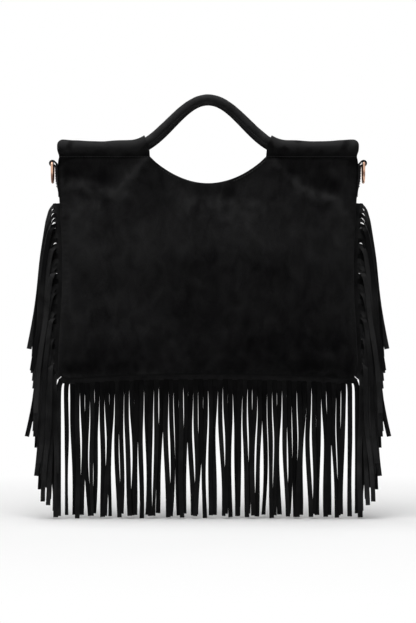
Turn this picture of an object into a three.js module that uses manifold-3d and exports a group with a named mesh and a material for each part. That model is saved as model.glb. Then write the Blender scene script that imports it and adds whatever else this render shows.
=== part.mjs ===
// Fringed suede bag: a soft two-panel pouch that hangs by a pair of wrapped rod handles.
// Each panel is one skin whose top edge folds over the handle rod and is stitched down as a
// casing on both sides of a rounded grip cut-out. A cut fringe is caught in the seam down both
// sides and along the bottom. A strap ring hangs in a folded tab high on each side.
// Millimetres, +Z up, +X to the bag's right as seen from the front, front facing -Y.
// The origin is under the crown of the handles, half way between front and back.

import * as THREE from "three";
import { mergeVertices } from "three/addons/utils/BufferGeometryUtils.js";
import Module from "manifold-3d";

const wasm = await Module();
wasm.setup();

// Body
const BODY_WIDTH = 350; // over the casing ends
const BODY_HEIGHT = 260; // casing stitch line to bottom corners
const BODY_DEPTH = 56; // front to back where the pouch is fullest
const SUEDE = 1.8; // panel thickness
const SEAM_ROUND = 24; // how far in from the seam a panel reaches its full depth
const CORNER_RADIUS = 14; // bottom corners, seen from the front
const HEM_ARCH = 6; // rise of the bottom edge at the middle
const WAIST = 5; // how far each side draws in at mid height
const MOUTH_SPACING = 26; // front handle to back handle, centre to centre
const MOUTH_NOTCH = 12; // height of the open notch at each end of the mouth

// Grip cut-out
const CUTOUT_HALF_WIDTH = 68;
const CUTOUT_DEPTH = 31; // below the casing stitch line

// Handles
const CORE_DIAMETER = 8.7;
const WRAP_THICKNESS = 1.1;
const HANDLE_RISE = 56.2; // crown above the straight ends, centre to centre
const HANDLE_HALF_SPAN = 91; // crown to where the rod lies level
const WRAP_FIN = 2.2; // height of the sewn seam along the inside of the wrap
const ROD_SETBACK = 5; // handle end to casing end
const CORE_SETBACK = 3; // core end to wrap end

// Casings
const CASING_DROP = 11.2; // rod centre down to the stitch line
const CASING_EASE = 0.6; // slack round the wrapped rod
const STITCH_ALLOWANCE = 3; // folded flap below the stitch line
const CASING_FLOOR = 1.2; // hollow of the casing above the stitch line
const CASING_SLANT = 6; // how far the inner end leans back at its top
const END_ROUND = 4.4; // length over which the outer end rounds off
const END_TUCK = 3.4; // how far the outer end closes in

// Lining
const LINING = 0.8;
const LINING_EASE = 0.5; // slack between lining and panels
const LINING_HEADROOM = 3; // lining edge below the panel edge

// Fringe
const STRIP_PITCH = 5.8;
const STRIP_WIDTH = 5.5;
const STRIP_ROOT = 1; // how far a strip is drawn into its header
const FRINGE_THICKNESS = 1.2;
const HEADER_INSIDE = 5; // uncut edge caught in the seam
const HEADER_OUTSIDE = 5.2; // uncut edge that shows
const SIDE_STRIP_LENGTH = 172;
const BOTTOM_STRIP_LENGTH = 156;
const SIDE_FRINGE_DROP = 53; // stitch line to the first side strip
const SIDE_FRINGE_HEIGHT = 194; // first side strip to last
const CORNER_STRIPS = 2; // bottom strips that fan round each corner
const CORNER_SWEEP = 46; // degrees of the corner that they cover
const SIDE_LAYERS = 9; // strips that hang one behind another beside the body
const SIDE_LAYER_STEP = 1.9;
const SIDE_PARTING = 10; // length in which the side strips part into their layers
const SIDE_TURN = 4; // size of the bend where a side strip turns down
const SIDE_TWIST = 0.6; // radians that a strip twists in its bend
const SIDE_TWIST_LENGTH = 4; // length in which it twists
const SIDE_UNTWIST_START = 7; // where along the strip it starts to turn face on again
const SIDE_UNTWIST_LENGTH = 14;
const SIDE_LEAN = 0.125; // outward lean of the hanging strips
const SIDE_FLARE = 0.1; // further lean just below the bend
const SIDE_FLARE_LENGTH = 25;
const SIDE_STRAY = 0.035; // by how much the lean of the side strips differs
const SIDE_STRAY_LENGTH = 90; // where along the strip it differs in full
const SIDE_MARKS = [0, 3.5, 9, 22, 80, SIDE_STRIP_LENGTH]; // places along a side strip
const BOTTOM_LAYERS = 3;
const BOTTOM_LAYER_STEP = 2.2;
const BOTTOM_PARTING = 18; // length in which the bottom strips part into their layers
const BOTTOM_TURN = 4; // size of the bend of the strips at the corners
const BOTTOM_SWAY = 4.6; // sideways, at the tips
const BOTTOM_BOW = 2.4; // sideways, at mid length
const BOTTOM_SHARES = [0, 0.12, 0.34, 0.6, 1]; // places along a bottom strip
const TIP_SPREAD = 6; // longest strip to shortest

// Strap rings and their tabs
const RING_WIRE = 3.2;
const RING_WIDTH = 22; // over the wire centres
const RING_DROP = 22; // bar to bow, over the wire centres
const RING_CLEARANCE = 0.4;
const TAB_WIDTH = 14;
const TAB_THICKNESS = 2.2; // of the loop round the bar
const TAB_PATCH = 2.8; // two layers sewn flat to the side
const TAB_LENGTH = 39; // bar down to the tab's lower end
const RING_BELOW_STITCH = 7;
const RING_OUT = 6.2; // bar centre to the bag's side

// Magnetic snap
const SNAP_DIAMETER = 18;
const SNAP_PLATE = 1.2;
const SNAP_BOSS_DIAMETER = 11;
const SNAP_BOSS = 2;
const SNAP_STUD_DIAMETER = 5;
const SNAP_DROP = 20; // below the bottom of the cut-out

const FIT = 0.3; // gap kept between pieces that touch

// Levels and radii that follow from the sizes above
const WRAP_BORE = CORE_DIAMETER / 2 + FIT;
const WRAP_RADIUS = WRAP_BORE + WRAP_THICKNESS;
const ROD_LEVEL = WRAP_RADIUS - HANDLE_RISE;
const STITCH_LEVEL = ROD_LEVEL - CASING_DROP;
const HEM_LEVEL = STITCH_LEVEL - BODY_HEIGHT;
const HALF_WIDTH = BODY_WIDTH / 2;
const SEAM_HALF = FRINGE_THICKNESS / 2 + FIT;
const MOUTH_DEPTH = MOUTH_SPACING / 2 + SUEDE / 2;
const HEM_BAND = HEM_LEVEL + HEM_ARCH + CORNER_RADIUS + SEAM_ROUND;
const TOP_BAND = STITCH_LEVEL - CUTOUT_DEPTH - 2 * LINING_HEADROOM;
const WRAP_SIDES = 8;

const clamp01 = (t) => Math.min(1, Math.max(0, t));
const smooth = (t) => clamp01(t) ** 2 * (3 - 2 * clamp01(t));
const mix = (a, b, t) => a + (b - a) * t;

// Materials
const suede = new THREE.MeshStandardMaterial({ color: 0x17171a, roughness: 0.95, metalness: 0 });
const fringeSuede = new THREE.MeshStandardMaterial({ color: 0x1c1c1e, roughness: 0.95, metalness: 0 });
const twill = new THREE.MeshStandardMaterial({ color: 0x26242a, roughness: 0.85, metalness: 0 });
const coreStock = new THREE.MeshStandardMaterial({ color: 0x2b2b2b, roughness: 0.6, metalness: 0 });
const roseGold = new THREE.MeshStandardMaterial({ color: 0xd2a07c, roughness: 0.25, metalness: 1 });

// A geometry from points and faces of three or four corners, with the faces turned to point out.
function geometryFrom(points, faces) {
  const index = faces.flatMap(([a, b, c, d]) => (d === undefined ? [a, b, c] : [a, b, c, a, c, d]));
  const volume = new THREE.Vector3();
  let sum = 0;
  for (let i = 0; i < index.length; i += 3) {
    const [a, b, c] = [points[index[i]], points[index[i + 1]], points[index[i + 2]]];
    sum += a.dot(volume.crossVectors(b, c));
  }
  if (sum < 0) index.reverse();
  return new THREE.BufferGeometry().setFromPoints(points).setIndex(index);
}

// A solid for joining, from a closed geometry.
function solidOf(geometry) {
  const bare = geometry.clone();
  bare.deleteAttribute("normal");
  bare.deleteAttribute("uv");
  const merged = mergeVertices(bare, 1e-4);
  const mesh = new wasm.Mesh({
    numProp: 3,
    vertProperties: merged.attributes.position.array,
    triVerts: new Uint32Array(merged.index.array),
  });
  return new wasm.Manifold(mesh);
}

// The geometry of several closed geometries joined into one body.
function joined(...geometries) {
  const body = geometries.map(solidOf).reduce((whole, piece) => whole.add(piece));
  const mesh = body.getMesh();
  return new THREE.BufferGeometry()
    .setAttribute("position", new THREE.BufferAttribute(mesh.vertProperties, 3))
    .setIndex(new THREE.BufferAttribute(mesh.triVerts, 1));
}

// Faces that close the band between two rows of point numbers; a ring's rows join end to end.
function band(rowA, rowB, isRing) {
  const count = isRing ? rowA.length : rowA.length - 1;
  return Array.from({ length: count }, (_, i) => {
    const next = (i + 1) % rowA.length;
    return [rowA[i], rowA[next], rowB[next], rowB[i]];
  });
}

// Numbers the points of several rows one after another.
function numbered(rows) {
  const points = rows.flat();
  let first = 0;
  const numbers = rows.map((row) => {
    first += row.length;
    return row.map((_, i) => first - row.length + i);
  });
  return { points, numbers };
}

// A solid bar through cross sections, closed by flat ends.
function bar(sections) {
  const { points, numbers } = numbered(sections);
  const faces = numbers.slice(1).flatMap((row, i) => band(numbers[i], row, true));
  const fan = (row) => row.slice(2).map((_, i) => [row[0], row[i + 1], row[i + 2]]);
  faces.push(...fan([...numbers[0]].reverse()), ...fan(numbers.at(-1)));
  return geometryFrom(points, faces);
}

// A solid bar through cross sections that runs back into its own start.
function loop(sections) {
  const { points, numbers } = numbered(sections);
  const faces = numbers.flatMap((row, i) => band(row, numbers[(i + 1) % numbers.length], true));
  return geometryFrom(points, faces);
}

// A hollow pipe through matching outer and inner cross sections, open at both ends.
function pipe(outer, inner) {
  const { points, numbers } = numbered([...outer, ...inner]);
  const outside = numbers.slice(0, outer.length);
  const inside = numbers.slice(outer.length);
  const faces = outside.slice(1).flatMap((row, i) => band(outside[i], row, true));
  faces.push(...inside.slice(1).flatMap((row, i) => band(row, inside[i], true)));
  faces.push(...band(inside[0], outside[0], true));
  faces.push(...band(outside.at(-1), inside.at(-1), true));
  return geometryFrom(points, faces);
}

// Form of the pouch

// Half width of the body at a level.
function halfWidth(z) {
  const down = clamp01((STITCH_LEVEL - z) / BODY_HEIGHT);
  return HALF_WIDTH - WAIST * Math.sin(Math.PI * down) ** 2;
}

// Level of the panel's bottom edge, raised by an inset for a layer further in.
function hemLevel(x, inset) {
  const arch = HEM_ARCH * (1 - clamp01(Math.abs(x) / HALF_WIDTH) ** 2);
  const radius = Math.max(CORNER_RADIUS - inset, SUEDE);
  const past = Math.max(0, Math.abs(x) - (HALF_WIDTH - inset - radius));
  const corner = radius - Math.sqrt(Math.max(0, radius ** 2 - past ** 2));
  return HEM_LEVEL + inset + arch + corner;
}

// Level of the panel's top edge: the stitch line, or the curve of the grip cut-out.
function topLevel(x) {
  const across = clamp01(Math.abs(x) / CUTOUT_HALF_WIDTH);
  return STITCH_LEVEL - CUTOUT_DEPTH * (1 - across ** 2);
}

// How full the pouch is at a distance from its seam, from 0 at the seam to 1.
function fullness(distance) {
  return Math.sqrt(1 - (1 - clamp01(distance / SEAM_ROUND)) ** 2);
}

// Depth of the pouch's skin, or of a layer inside it, in front of the seam plane. The layer says how
// far in from the outside it lies.
function pouchDepth(x, z, low, layer) {
  const below = smooth((STITCH_LEVEL - z) / (0.55 * BODY_HEIGHT));
  const full = mix(MOUTH_DEPTH, BODY_DEPTH / 2, below) - layer.depth;
  const reach = halfWidth(z) - layer.edge;
  const pillow = fullness(reach - Math.abs(x)) * fullness(z - low);
  const notch = clamp01((z - STITCH_LEVEL + MOUTH_NOTCH) / MOUTH_NOTCH);
  return mix(layer.rim, full, Math.max(pillow, notch));
}

// A point of a layer of the pouch's front. Across runs from -1 to 1, and the row gives the level.
function pouchPoint(across, row, layer) {
  const low = hemLevel(across * (HALF_WIDTH - layer.edge), layer.edge);
  const topEdge = topLevel(across * HALF_WIDTH);
  const high = Math.min(topEdge, STITCH_LEVEL - layer.notch) - layer.headroom;
  const z = row(low, high);
  const x = across * (halfWidth(z) - layer.edge);
  return new THREE.Vector3(x, -pouchDepth(x, z, low, layer), z);
}

// Columns across a panel, closer together where it turns into the side seams.
function columns() {
  const cut = CUTOUT_HALF_WIDTH / HALF_WIDTH;
  const shoulder = 1 - SEAM_ROUND / HALF_WIDTH;
  const half = [];
  for (let i = 1; i <= 5; i++) half.push((cut * i) / 5);
  for (let i = 1; i <= 3; i++) half.push(mix(cut, shoulder, i / 3));
  for (let i = 1; i <= 4; i++) half.push(mix(shoulder, 1, Math.sin((Math.PI / 2) * (i / 4))));
  return [...half.map((u) => -u).reverse(), 0, ...half];
}

// Rows up a panel, each a level between the hem and the top edge. The rows in the middle lie at the
// same level in every layer, so that the layers keep their distance.
function rows() {
  const list = [];
  for (let i = 0; i < 3; i++) {
    const share = 1 - Math.cos((Math.PI / 2) * (i / 3));
    list.push((low) => mix(low, HEM_BAND, share));
  }
  for (let i = 0; i <= 4; i++) list.push(() => mix(HEM_BAND, TOP_BAND, i / 4));
  const notchShare = 1 - MOUTH_NOTCH / (STITCH_LEVEL - TOP_BAND);
  list.push((low, high) => mix(TOP_BAND, high, notchShare));
  list.push((low, high) => high);
  return list;
}

// A grid of pouch points, one list for each row.
function pouchGrid(layer) {
  return rows().map((row) => columns().map((across) => pouchPoint(across, row, layer)));
}

const mirrored = (grid) => grid.map((row) => row.map((p) => new THREE.Vector3(p.x, -p.y, p.z)));

// Panels

// The skin of one panel, from its outside and inside grids and a rim all round.
function panelSkin() {
  const layer = { edge: 0, depth: 0, rim: SEAM_HALF, notch: 0, headroom: 0 };
  const outside = pouchGrid(layer);
  const inside = pouchGrid({ ...layer, edge: SUEDE, depth: SUEDE });
  const { points, numbers } = numbered([...outside, ...inside]);
  const front = numbers.slice(0, outside.length);
  const back = numbers.slice(outside.length);
  const faces = front.slice(1).flatMap((row, i) => band(front[i], row, false));
  faces.push(...back.slice(1).flatMap((row, i) => band(row, back[i], false)));
  faces.push(...band(back[0], front[0], false), ...band(front.at(-1), back.at(-1), false));
  const left = (grid) => grid.map((row) => row[0]);
  const right = (grid) => grid.map((row) => row.at(-1));
  faces.push(...band(left(front), left(back), false), ...band(right(back), right(front), false));
  return geometryFrom(points, faces);
}

// Level of the handle rod's centre and the slope of the rod at a place along the bag.
function rodAt(x) {
  const turn = Math.PI * clamp01(Math.abs(x) / HANDLE_HALF_SPAN);
  const level = ROD_LEVEL + (HANDLE_RISE / 2) * (1 + Math.cos(turn));
  const steep = ((HANDLE_RISE * Math.PI) / (2 * HANDLE_HALF_SPAN)) * Math.sin(turn);
  return { level, slope: -Math.sign(x) * steep };
}

// Cross section of a casing: round over the rod, drawn in below it to a flap on the stitch line. A
// slant leans the top of the section outwards along the rod.
function casingSection(x, radius, flapHalf, floor, slant) {
  const wrapFrom = -50;
  const wrapTo = 230;
  const steps = 8;
  const centre = -MOUTH_SPACING / 2;
  const section = [];
  for (let i = 0; i <= steps; i++) {
    const angle = THREE.MathUtils.degToRad(mix(wrapFrom, wrapTo, i / steps));
    const along = x + Math.sign(x) * slant * clamp01(0.5 + 0.5 * Math.sin(angle));
    const { level, slope } = rodAt(along);
    const up = radius * Math.sin(angle) * (angle > 0 && angle < Math.PI ? Math.hypot(1, slope) : 1);
    section.push(new THREE.Vector3(along, centre + radius * Math.cos(angle), level + up));
  }
  section.push(new THREE.Vector3(x, centre - flapHalf, floor));
  section.push(new THREE.Vector3(x, centre + flapHalf, floor));
  return section;
}

// One casing, from the grip cut-out to the end of the bag, on the left (-1) or right (1).
function casing(side) {
  const bore = WRAP_RADIUS + CASING_EASE;
  const steps = [0, 1 / 3, 2 / 3, 1];
  const mouth = steps.map((share) => ({
    x: side * mix(CUTOUT_HALF_WIDTH, HANDLE_HALF_SPAN, share),
    tuck: 0,
    slant: CASING_SLANT * (1 - share),
  }));
  const end = steps.map((share) => ({
    x: side * (HALF_WIDTH - END_ROUND * (1 - Math.sin((share * Math.PI) / 2))),
    tuck: END_TUCK * (1 - Math.cos((share * Math.PI) / 2)),
    slant: 0,
  }));
  const places = [...mouth, ...end];
  const flap = STITCH_LEVEL - STITCH_ALLOWANCE;
  const floor = STITCH_LEVEL + CASING_FLOOR;
  const outer = places.map(({ x, tuck, slant }) =>
    casingSection(x, bore + SUEDE - tuck, SUEDE + FIT, flap, slant),
  );
  const inner = places.map(({ x, tuck, slant }) => casingSection(x, bore - tuck, SUEDE / 2, floor, slant));
  return pipe(outer, inner);
}

const panelGeometry = joined(panelSkin(), casing(-1), casing(1));

// Lining

// An open pouch of lining cloth, its front and back joined along the sides and bottom.
function liningGeometry() {
  const outerLayer = {
    edge: HEADER_INSIDE + FIT,
    depth: SUEDE + LINING_EASE,
    rim: 0,
    notch: MOUTH_NOTCH,
    headroom: LINING_HEADROOM,
  };
  const innerLayer = { ...outerLayer, edge: outerLayer.edge + LINING, depth: outerLayer.depth + LINING };
  const outer = pouchGrid(outerLayer);
  const inner = pouchGrid(innerLayer);
  const grids = [outer, inner, mirrored(outer), mirrored(inner)];
  const { points, numbers } = numbered(grids.flat());
  const [frontOut, frontIn, backOut, backIn] = grids.map((grid, i) =>
    numbers.slice(i * grid.length, (i + 1) * grid.length),
  );
  const sheet = (grid) => grid.slice(1).flatMap((row, i) => band(grid[i], row, false));
  const turned = (grid) => grid.slice(1).flatMap((row, i) => band(row, grid[i], false));
  const faces = [...sheet(frontOut), ...turned(frontIn), ...turned(backOut), ...sheet(backIn)];
  faces.push(...band(frontOut.at(-1), frontIn.at(-1), false));
  faces.push(...band(backIn.at(-1), backOut.at(-1), false));
  return mergeVertices(geometryFrom(points, faces), 1e-4);
}

// Handles

// Places along a handle, from one end of the rod to the other.
function handlePlaces(end) {
  const steps = 20;
  const place = (_, i) => mix(-HANDLE_HALF_SPAN, HANDLE_HALF_SPAN, i / steps);
  return [-end, ...Array.from({ length: steps + 1 }, place), end];
}

// Cross section of the handle at a place along the bag, with a seam fin on the inside of the arch.
function handleSection(x, radius, fin) {
  const { level, slope } = rodAt(x);
  const outward = new THREE.Vector3(-slope, 0, 1).normalize();
  const depthwise = new THREE.Vector3(0, 1, 0);
  const centre = new THREE.Vector3(x, 0, level);
  return Array.from({ length: WRAP_SIDES }, (_, i) => {
    const angle = (i / WRAP_SIDES) * 2 * Math.PI;
    const reach = radius + (i === WRAP_SIDES / 2 ? fin : 0);
    return centre
      .clone()
      .addScaledVector(outward, reach * Math.cos(angle))
      .addScaledVector(depthwise, reach * Math.sin(angle));
  });
}

// The rod inside the wrap.
function coreGeometry() {
  const places = handlePlaces(HALF_WIDTH - ROD_SETBACK - CORE_SETBACK);
  return bar(places.map((x) => handleSection(x, CORE_DIAMETER / 2, 0)));
}

// The suede sleeve sewn round the rod. Its seam stands up along the flanks and dies out at the crown.
function wrapGeometry() {
  const places = handlePlaces(HALF_WIDTH - ROD_SETBACK);
  const fin = (x) => WRAP_FIN * smooth((1.6 * Math.abs(x)) / HANDLE_HALF_SPAN - 0.1);
  const outer = places.map((x) => handleSection(x, WRAP_RADIUS, fin(x)));
  const inner = places.map((x) => handleSection(x, WRAP_BORE, 0));
  return pipe(outer, inner);
}

// Fringe

// A repeatable scatter between -1 and 1 that makes neighbouring strips differ.
const scatter = (i, seed) => Math.sin(2.4 * i + seed) * 0.65 + Math.sin(5.3 * i + 2 * seed) * 0.35;

// One cut length of suede: an uncut header joined to its strips. Boundaries give the header's inner
// and outer edge between strips, and each strip is a list of places along its length.
function comb(boundaries, strips) {
  const half = FRINGE_THICKNESS / 2;
  const header = bar(
    boundaries.map(({ inner, outer }) => [
      inner.clone().setY(-half),
      outer.clone().setY(-half),
      outer.clone().setY(half),
      inner.clone().setY(half),
    ]),
  );
  const corners = ({ centre, widthwise, through }) =>
    [
      [-1, -1],
      [1, -1],
      [1, 1],
      [-1, 1],
    ].map(([w, t]) =>
      centre
        .clone()
        .addScaledVector(widthwise, (w * STRIP_WIDTH) / 2)
        .addScaledVector(through, t * half),
    );
  return joined(header, ...strips.map((places) => bar(places.map(corners))));
}

// The places along a strip. It leaves its header at an angle below level, turns down, and hangs in
// its own layer. The other rules give the lean, the sideways drift, the depth and the twist by the
// length gone along the strip, and the marks say where its places are.
function hangingStrip({ start, side, leave, turn, lean, drift, depth, twist, marks }) {
  const depthwise = new THREE.Vector3(0, 1, 0);
  const at = start.clone();
  const places = [];
  const step = 0.25;
  for (let along = 0; places.length < marks.length; along += step) {
    const fall = Math.PI / 2 - Math.atan(lean(along));
    const angle = mix(fall, leave, Math.exp(-along / turn));
    if (along >= marks[places.length]) {
      const upright = new THREE.Vector3(-side * Math.sin(angle), 0, -Math.cos(angle));
      const across = Math.cos(twist(along));
      const turned = Math.sin(twist(along));
      places.push({
        centre: at.clone().add(new THREE.Vector3(drift(along), depth(along), 0)),
        widthwise: upright.clone().multiplyScalar(across).addScaledVector(depthwise, turned),
        through: depthwise.clone().multiplyScalar(across).addScaledVector(upright, -turned),
      });
    }
    at.x += side * Math.cos(angle) * step;
    at.z -= Math.sin(angle) * step;
  }
  places[0].centre.x -= side * Math.cos(leave) * STRIP_ROOT;
  places[0].centre.z += Math.sin(leave) * STRIP_ROOT;
  return places;
}

// The header's edges at its boundaries along the bottom, from the middle of one corner to the other.
// Each boundary also says how far below level the strips leave there.
function bottomBoundaries() {
  const straight = HALF_WIDTH - CORNER_RADIUS;
  const count = Math.round((2 * straight) / STRIP_PITCH);
  const corner = (side, i) => {
    const leave = Math.PI / 2 - THREE.MathUtils.degToRad((CORNER_SWEEP * i) / CORNER_STRIPS);
    const out = new THREE.Vector3(side * Math.cos(leave), 0, -Math.sin(leave));
    const centre = new THREE.Vector3(side * straight, 0, HEM_LEVEL + CORNER_RADIUS);
    const inner = centre.clone().addScaledVector(out, CORNER_RADIUS - HEADER_INSIDE);
    return { inner, outer: centre.addScaledVector(out, CORNER_RADIUS + HEADER_OUTSIDE), leave };
  };
  const steps = Array.from({ length: CORNER_STRIPS }, (_, i) => i + 1);
  const middle = Array.from({ length: count + 1 }, (_, i) => {
    const x = mix(-straight, straight, i / count);
    const inner = new THREE.Vector3(x, 0, hemLevel(x, 0) + HEADER_INSIDE);
    return { inner, outer: inner.clone().setZ(hemLevel(x, 0) - HEADER_OUTSIDE), leave: Math.PI / 2 };
  });
  const left = steps.map((i) => corner(-1, i)).reverse();
  return [...left, ...middle, ...steps.map((i) => corner(1, i))];
}

// The bottom fringe: strips that hang from the hem, swaying together in small groups.
function bottomFringeGeometry() {
  const boundaries = bottomBoundaries();
  const strips = boundaries.slice(1).map((after, i) => {
    const before = boundaries[i];
    const start = before.outer.clone().add(after.outer).multiplyScalar(0.5);
    const tip = HEM_LEVEL - HEADER_OUTSIDE - BOTTOM_STRIP_LENGTH + (TIP_SPREAD / 2) * (1 + scatter(i, 4));
    const length = start.z - tip;
    const layer = (i % BOTTOM_LAYERS) - (BOTTOM_LAYERS - 1) / 2;
    const leave = (before.leave + after.leave) / 2;
    const freedom = ((2 * leave) / Math.PI) ** 6;
    const sway = freedom * BOTTOM_SWAY * scatter(i, 1);
    const bow = freedom * BOTTOM_BOW * scatter(i, 5);
    return hangingStrip({
      start,
      side: start.x < 0 ? -1 : 1,
      leave,
      turn: BOTTOM_TURN,
      lean: () => 0,
      drift: (along) => sway * (along / length) ** 1.4 + bow * Math.sin((Math.PI * along) / length),
      depth: (along) => layer * BOTTOM_LAYER_STEP * smooth(along / BOTTOM_PARTING),
      twist: () => 0,
      marks: BOTTOM_SHARES.map((share) => share * length),
    });
  });
  return comb(boundaries, strips);
}

// How freely a side strip swings out, by its place down the seam: the lowest ones hang straight.
const sideFreedom = (down) => 1 - clamp01((down - 0.6) / 0.4) ** 2;

// A side strip: it leaves the seam level, twists as it turns down, and hangs face on in its own layer,
// leaning out over the strips below it.
function sideStrip(i, count, start, side) {
  const freedom = sideFreedom(i / (count - 1));
  const layer = (SIDE_LAYERS - 1) / 2 - ((2 * i) % SIDE_LAYERS);
  const stray = SIDE_STRAY * scatter(i, 3);
  const flare = (along) => SIDE_FLARE * Math.exp(-along / SIDE_FLARE_LENGTH);
  const faceOn = (along) => 1 - smooth((along - SIDE_UNTWIST_START) / SIDE_UNTWIST_LENGTH);
  return hangingStrip({
    start,
    side,
    leave: 0,
    turn: SIDE_TURN * mix(0.4, 1, freedom),
    lean: (along) => freedom * (SIDE_LEAN + flare(along) + stray * smooth(along / SIDE_STRAY_LENGTH)),
    drift: () => 0,
    depth: (along) => layer * SIDE_LAYER_STEP * smooth(along / SIDE_PARTING),
    twist: (along) => SIDE_TWIST * smooth(along / SIDE_TWIST_LENGTH) * faceOn(along),
    marks: SIDE_MARKS,
  });
}

// The fringe down one side of the body, left (-1) or right (1).
function sideFringeGeometry(side) {
  const count = Math.round(SIDE_FRINGE_HEIGHT / STRIP_PITCH);
  const boundaries = Array.from({ length: count + 1 }, (_, i) => {
    const z = STITCH_LEVEL - SIDE_FRINGE_DROP - (SIDE_FRINGE_HEIGHT * i) / count;
    const inner = new THREE.Vector3(side * (halfWidth(z) - HEADER_INSIDE), 0, z);
    return { inner, outer: inner.clone().setX(side * (halfWidth(z) + HEADER_OUTSIDE)) };
  });
  const strips = Array.from({ length: count }, (_, i) => {
    const start = boundaries[i].outer.clone().add(boundaries[i + 1].outer).multiplyScalar(0.5);
    return sideStrip(i, count, start, side);
  });
  return comb(boundaries, strips);
}

// Strap rings and tabs, each about its own bar

// A wire ring with a straight bar and a long bow that hangs below it.
function ringGeometry() {
  const bends = 12;
  const path = Array.from({ length: bends + 1 }, (_, i) => {
    const angle = (Math.PI * i) / bends;
    return new THREE.Vector3(0, (RING_WIDTH / 2) * Math.cos(angle), -RING_DROP * Math.sin(angle));
  });
  const sideways = new THREE.Vector3(1, 0, 0);
  const wireSides = 8;
  const sections = path.map((point, i) => {
    const before = point.clone().sub(path.at(i - 1)).normalize();
    const after = path[(i + 1) % path.length].clone().sub(point).normalize();
    const middle = before.clone().add(after).normalize();
    const mitre = 1 / middle.dot(after);
    const across = new THREE.Vector3().crossVectors(middle, sideways);
    return Array.from({ length: wireSides }, (_, k) => {
      const angle = (k / wireSides) * 2 * Math.PI;
      return point
        .clone()
        .addScaledVector(sideways, (RING_WIRE / 2) * Math.cos(angle))
        .addScaledVector(across, (RING_WIRE / 2) * mitre * Math.sin(angle));
    });
  });
  return loop(sections);
}

// A strip folded round the ring's bar, its two layers sewn flat against the side of the bag.
function tabGeometry() {
  const bore = RING_WIRE / 2 + RING_CLEARANCE;
  const loopRadius = bore + TAB_THICKNESS;
  const back = -(RING_OUT - FIT);
  const face = back + TAB_PATCH;
  const drift = 0.9 * (HALF_WIDTH - halfWidth(STITCH_LEVEL - RING_BELOW_STITCH - TAB_LENGTH));
  const outline = new THREE.Shape();
  outline.moveTo(back - drift, -TAB_LENGTH);
  outline.lineTo(back, 0);
  outline.quadraticCurveTo(back, loopRadius, 0, loopRadius);
  outline.absarc(0, 0, loopRadius, Math.PI / 2, -Math.acos(face / loopRadius), true);
  outline.lineTo(face - drift, -TAB_LENGTH);
  outline.closePath();
  const eye = new THREE.Path();
  eye.absarc(0, 0, bore, 0, 2 * Math.PI, false);
  outline.holes.push(eye);
  const tab = new THREE.ExtrudeGeometry(outline, { depth: TAB_WIDTH, bevelEnabled: false, curveSegments: 7 });
  return tab.translate(0, 0, -TAB_WIDTH / 2).rotateX(Math.PI / 2);
}

// Magnetic snap

// Half of the snap as a turned profile, its plate at y = 0.
function snapGeometry(isSocket) {
  const plate = SNAP_DIAMETER / 2;
  const boss = isSocket ? SNAP_BOSS_DIAMETER / 2 : SNAP_STUD_DIAMETER / 2;
  const top = SNAP_PLATE + SNAP_BOSS;
  const well = SNAP_STUD_DIAMETER / 2 + FIT;
  const profile = [new THREE.Vector2(0, 0), new THREE.Vector2(plate, 0), new THREE.Vector2(plate, SNAP_PLATE)];
  profile.push(new THREE.Vector2(boss, SNAP_PLATE), new THREE.Vector2(boss, top));
  if (isSocket) profile.push(new THREE.Vector2(well, top), new THREE.Vector2(well, SNAP_PLATE));
  profile.push(new THREE.Vector2(0, isSocket ? SNAP_PLATE : top));
  return new THREE.LatheGeometry(profile, 16);
}

// Where a snap half sits on the lining: a point on the cloth and the lean of the cloth there.
function snapSeat() {
  const edge = HEADER_INSIDE + FIT + LINING;
  const layer = { edge, depth: SUEDE + LINING_EASE + LINING, rim: 0 };
  const level = STITCH_LEVEL - CUTOUT_DEPTH - SNAP_DROP;
  const depthAt = (z) => pouchDepth(0, z, hemLevel(0, edge), layer);
  const above = depthAt(level + SNAP_DIAMETER / 2);
  const below = depthAt(level - SNAP_DIAMETER / 2);
  const depth = Math.min((above + below) / 2, depthAt(level));
  return { depth, level, lean: Math.atan((below - above) / SNAP_DIAMETER) };
}

// Assembly

const bag = new THREE.Group();
bag.name = "fringed_suede_bag";

function place(parent, name, geometry, material) {
  const mesh = new THREE.Mesh(geometry, material);
  mesh.name = name;
  parent.add(mesh);
  return mesh;
}

for (const [name, turn, depth] of [
  ["front", 0, -MOUTH_SPACING / 2],
  ["back", Math.PI, MOUTH_SPACING / 2],
]) {
  place(bag, `${name}_panel`, panelGeometry, suede).rotation.z = turn;
  place(bag, `${name}_handle_core`, coreGeometry(), coreStock).position.y = depth;
  place(bag, `${name}_handle_wrap`, wrapGeometry(), suede).position.y = depth;
}

place(bag, "lining", liningGeometry(), twill);
place(bag, "bottom_fringe", bottomFringeGeometry(), fringeSuede);

for (const [name, side] of [
  ["left", -1],
  ["right", 1],
]) {
  place(bag, `${name}_fringe`, sideFringeGeometry(side), fringeSuede);
  const hanger = new THREE.Group();
  hanger.position.set(side * (HALF_WIDTH + RING_OUT), 0, STITCH_LEVEL - RING_BELOW_STITCH);
  hanger.rotation.z = side > 0 ? 0 : Math.PI;
  place(hanger, `${name}_ring_tab`, tabGeometry(), suede);
  place(hanger, `${name}_strap_ring`, ringGeometry(), roseGold);
  bag.add(hanger);
}

const seat = snapSeat();
for (const [name, isSocket, face] of [
  ["snap_socket", true, -1],
  ["snap_stud", false, 1],
]) {
  const snap = place(bag, name, snapGeometry(isSocket), roseGold);
  snap.rotation.x = face > 0 ? Math.PI + seat.lean : -seat.lean;
  snap.position.set(0, face * seat.depth, seat.level);
  snap.translateY(2 * FIT);
}

export default bag;
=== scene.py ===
"""Looks of the fringed suede bag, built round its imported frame.

Lengths inside the classes are millimetres in the frame of the part: +X to the bag's right seen from
the front, the front facing -Y, +Z up, and the origin under the crown of the handles. Meshes are
written in metres.
"""

from __future__ import annotations

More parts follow.
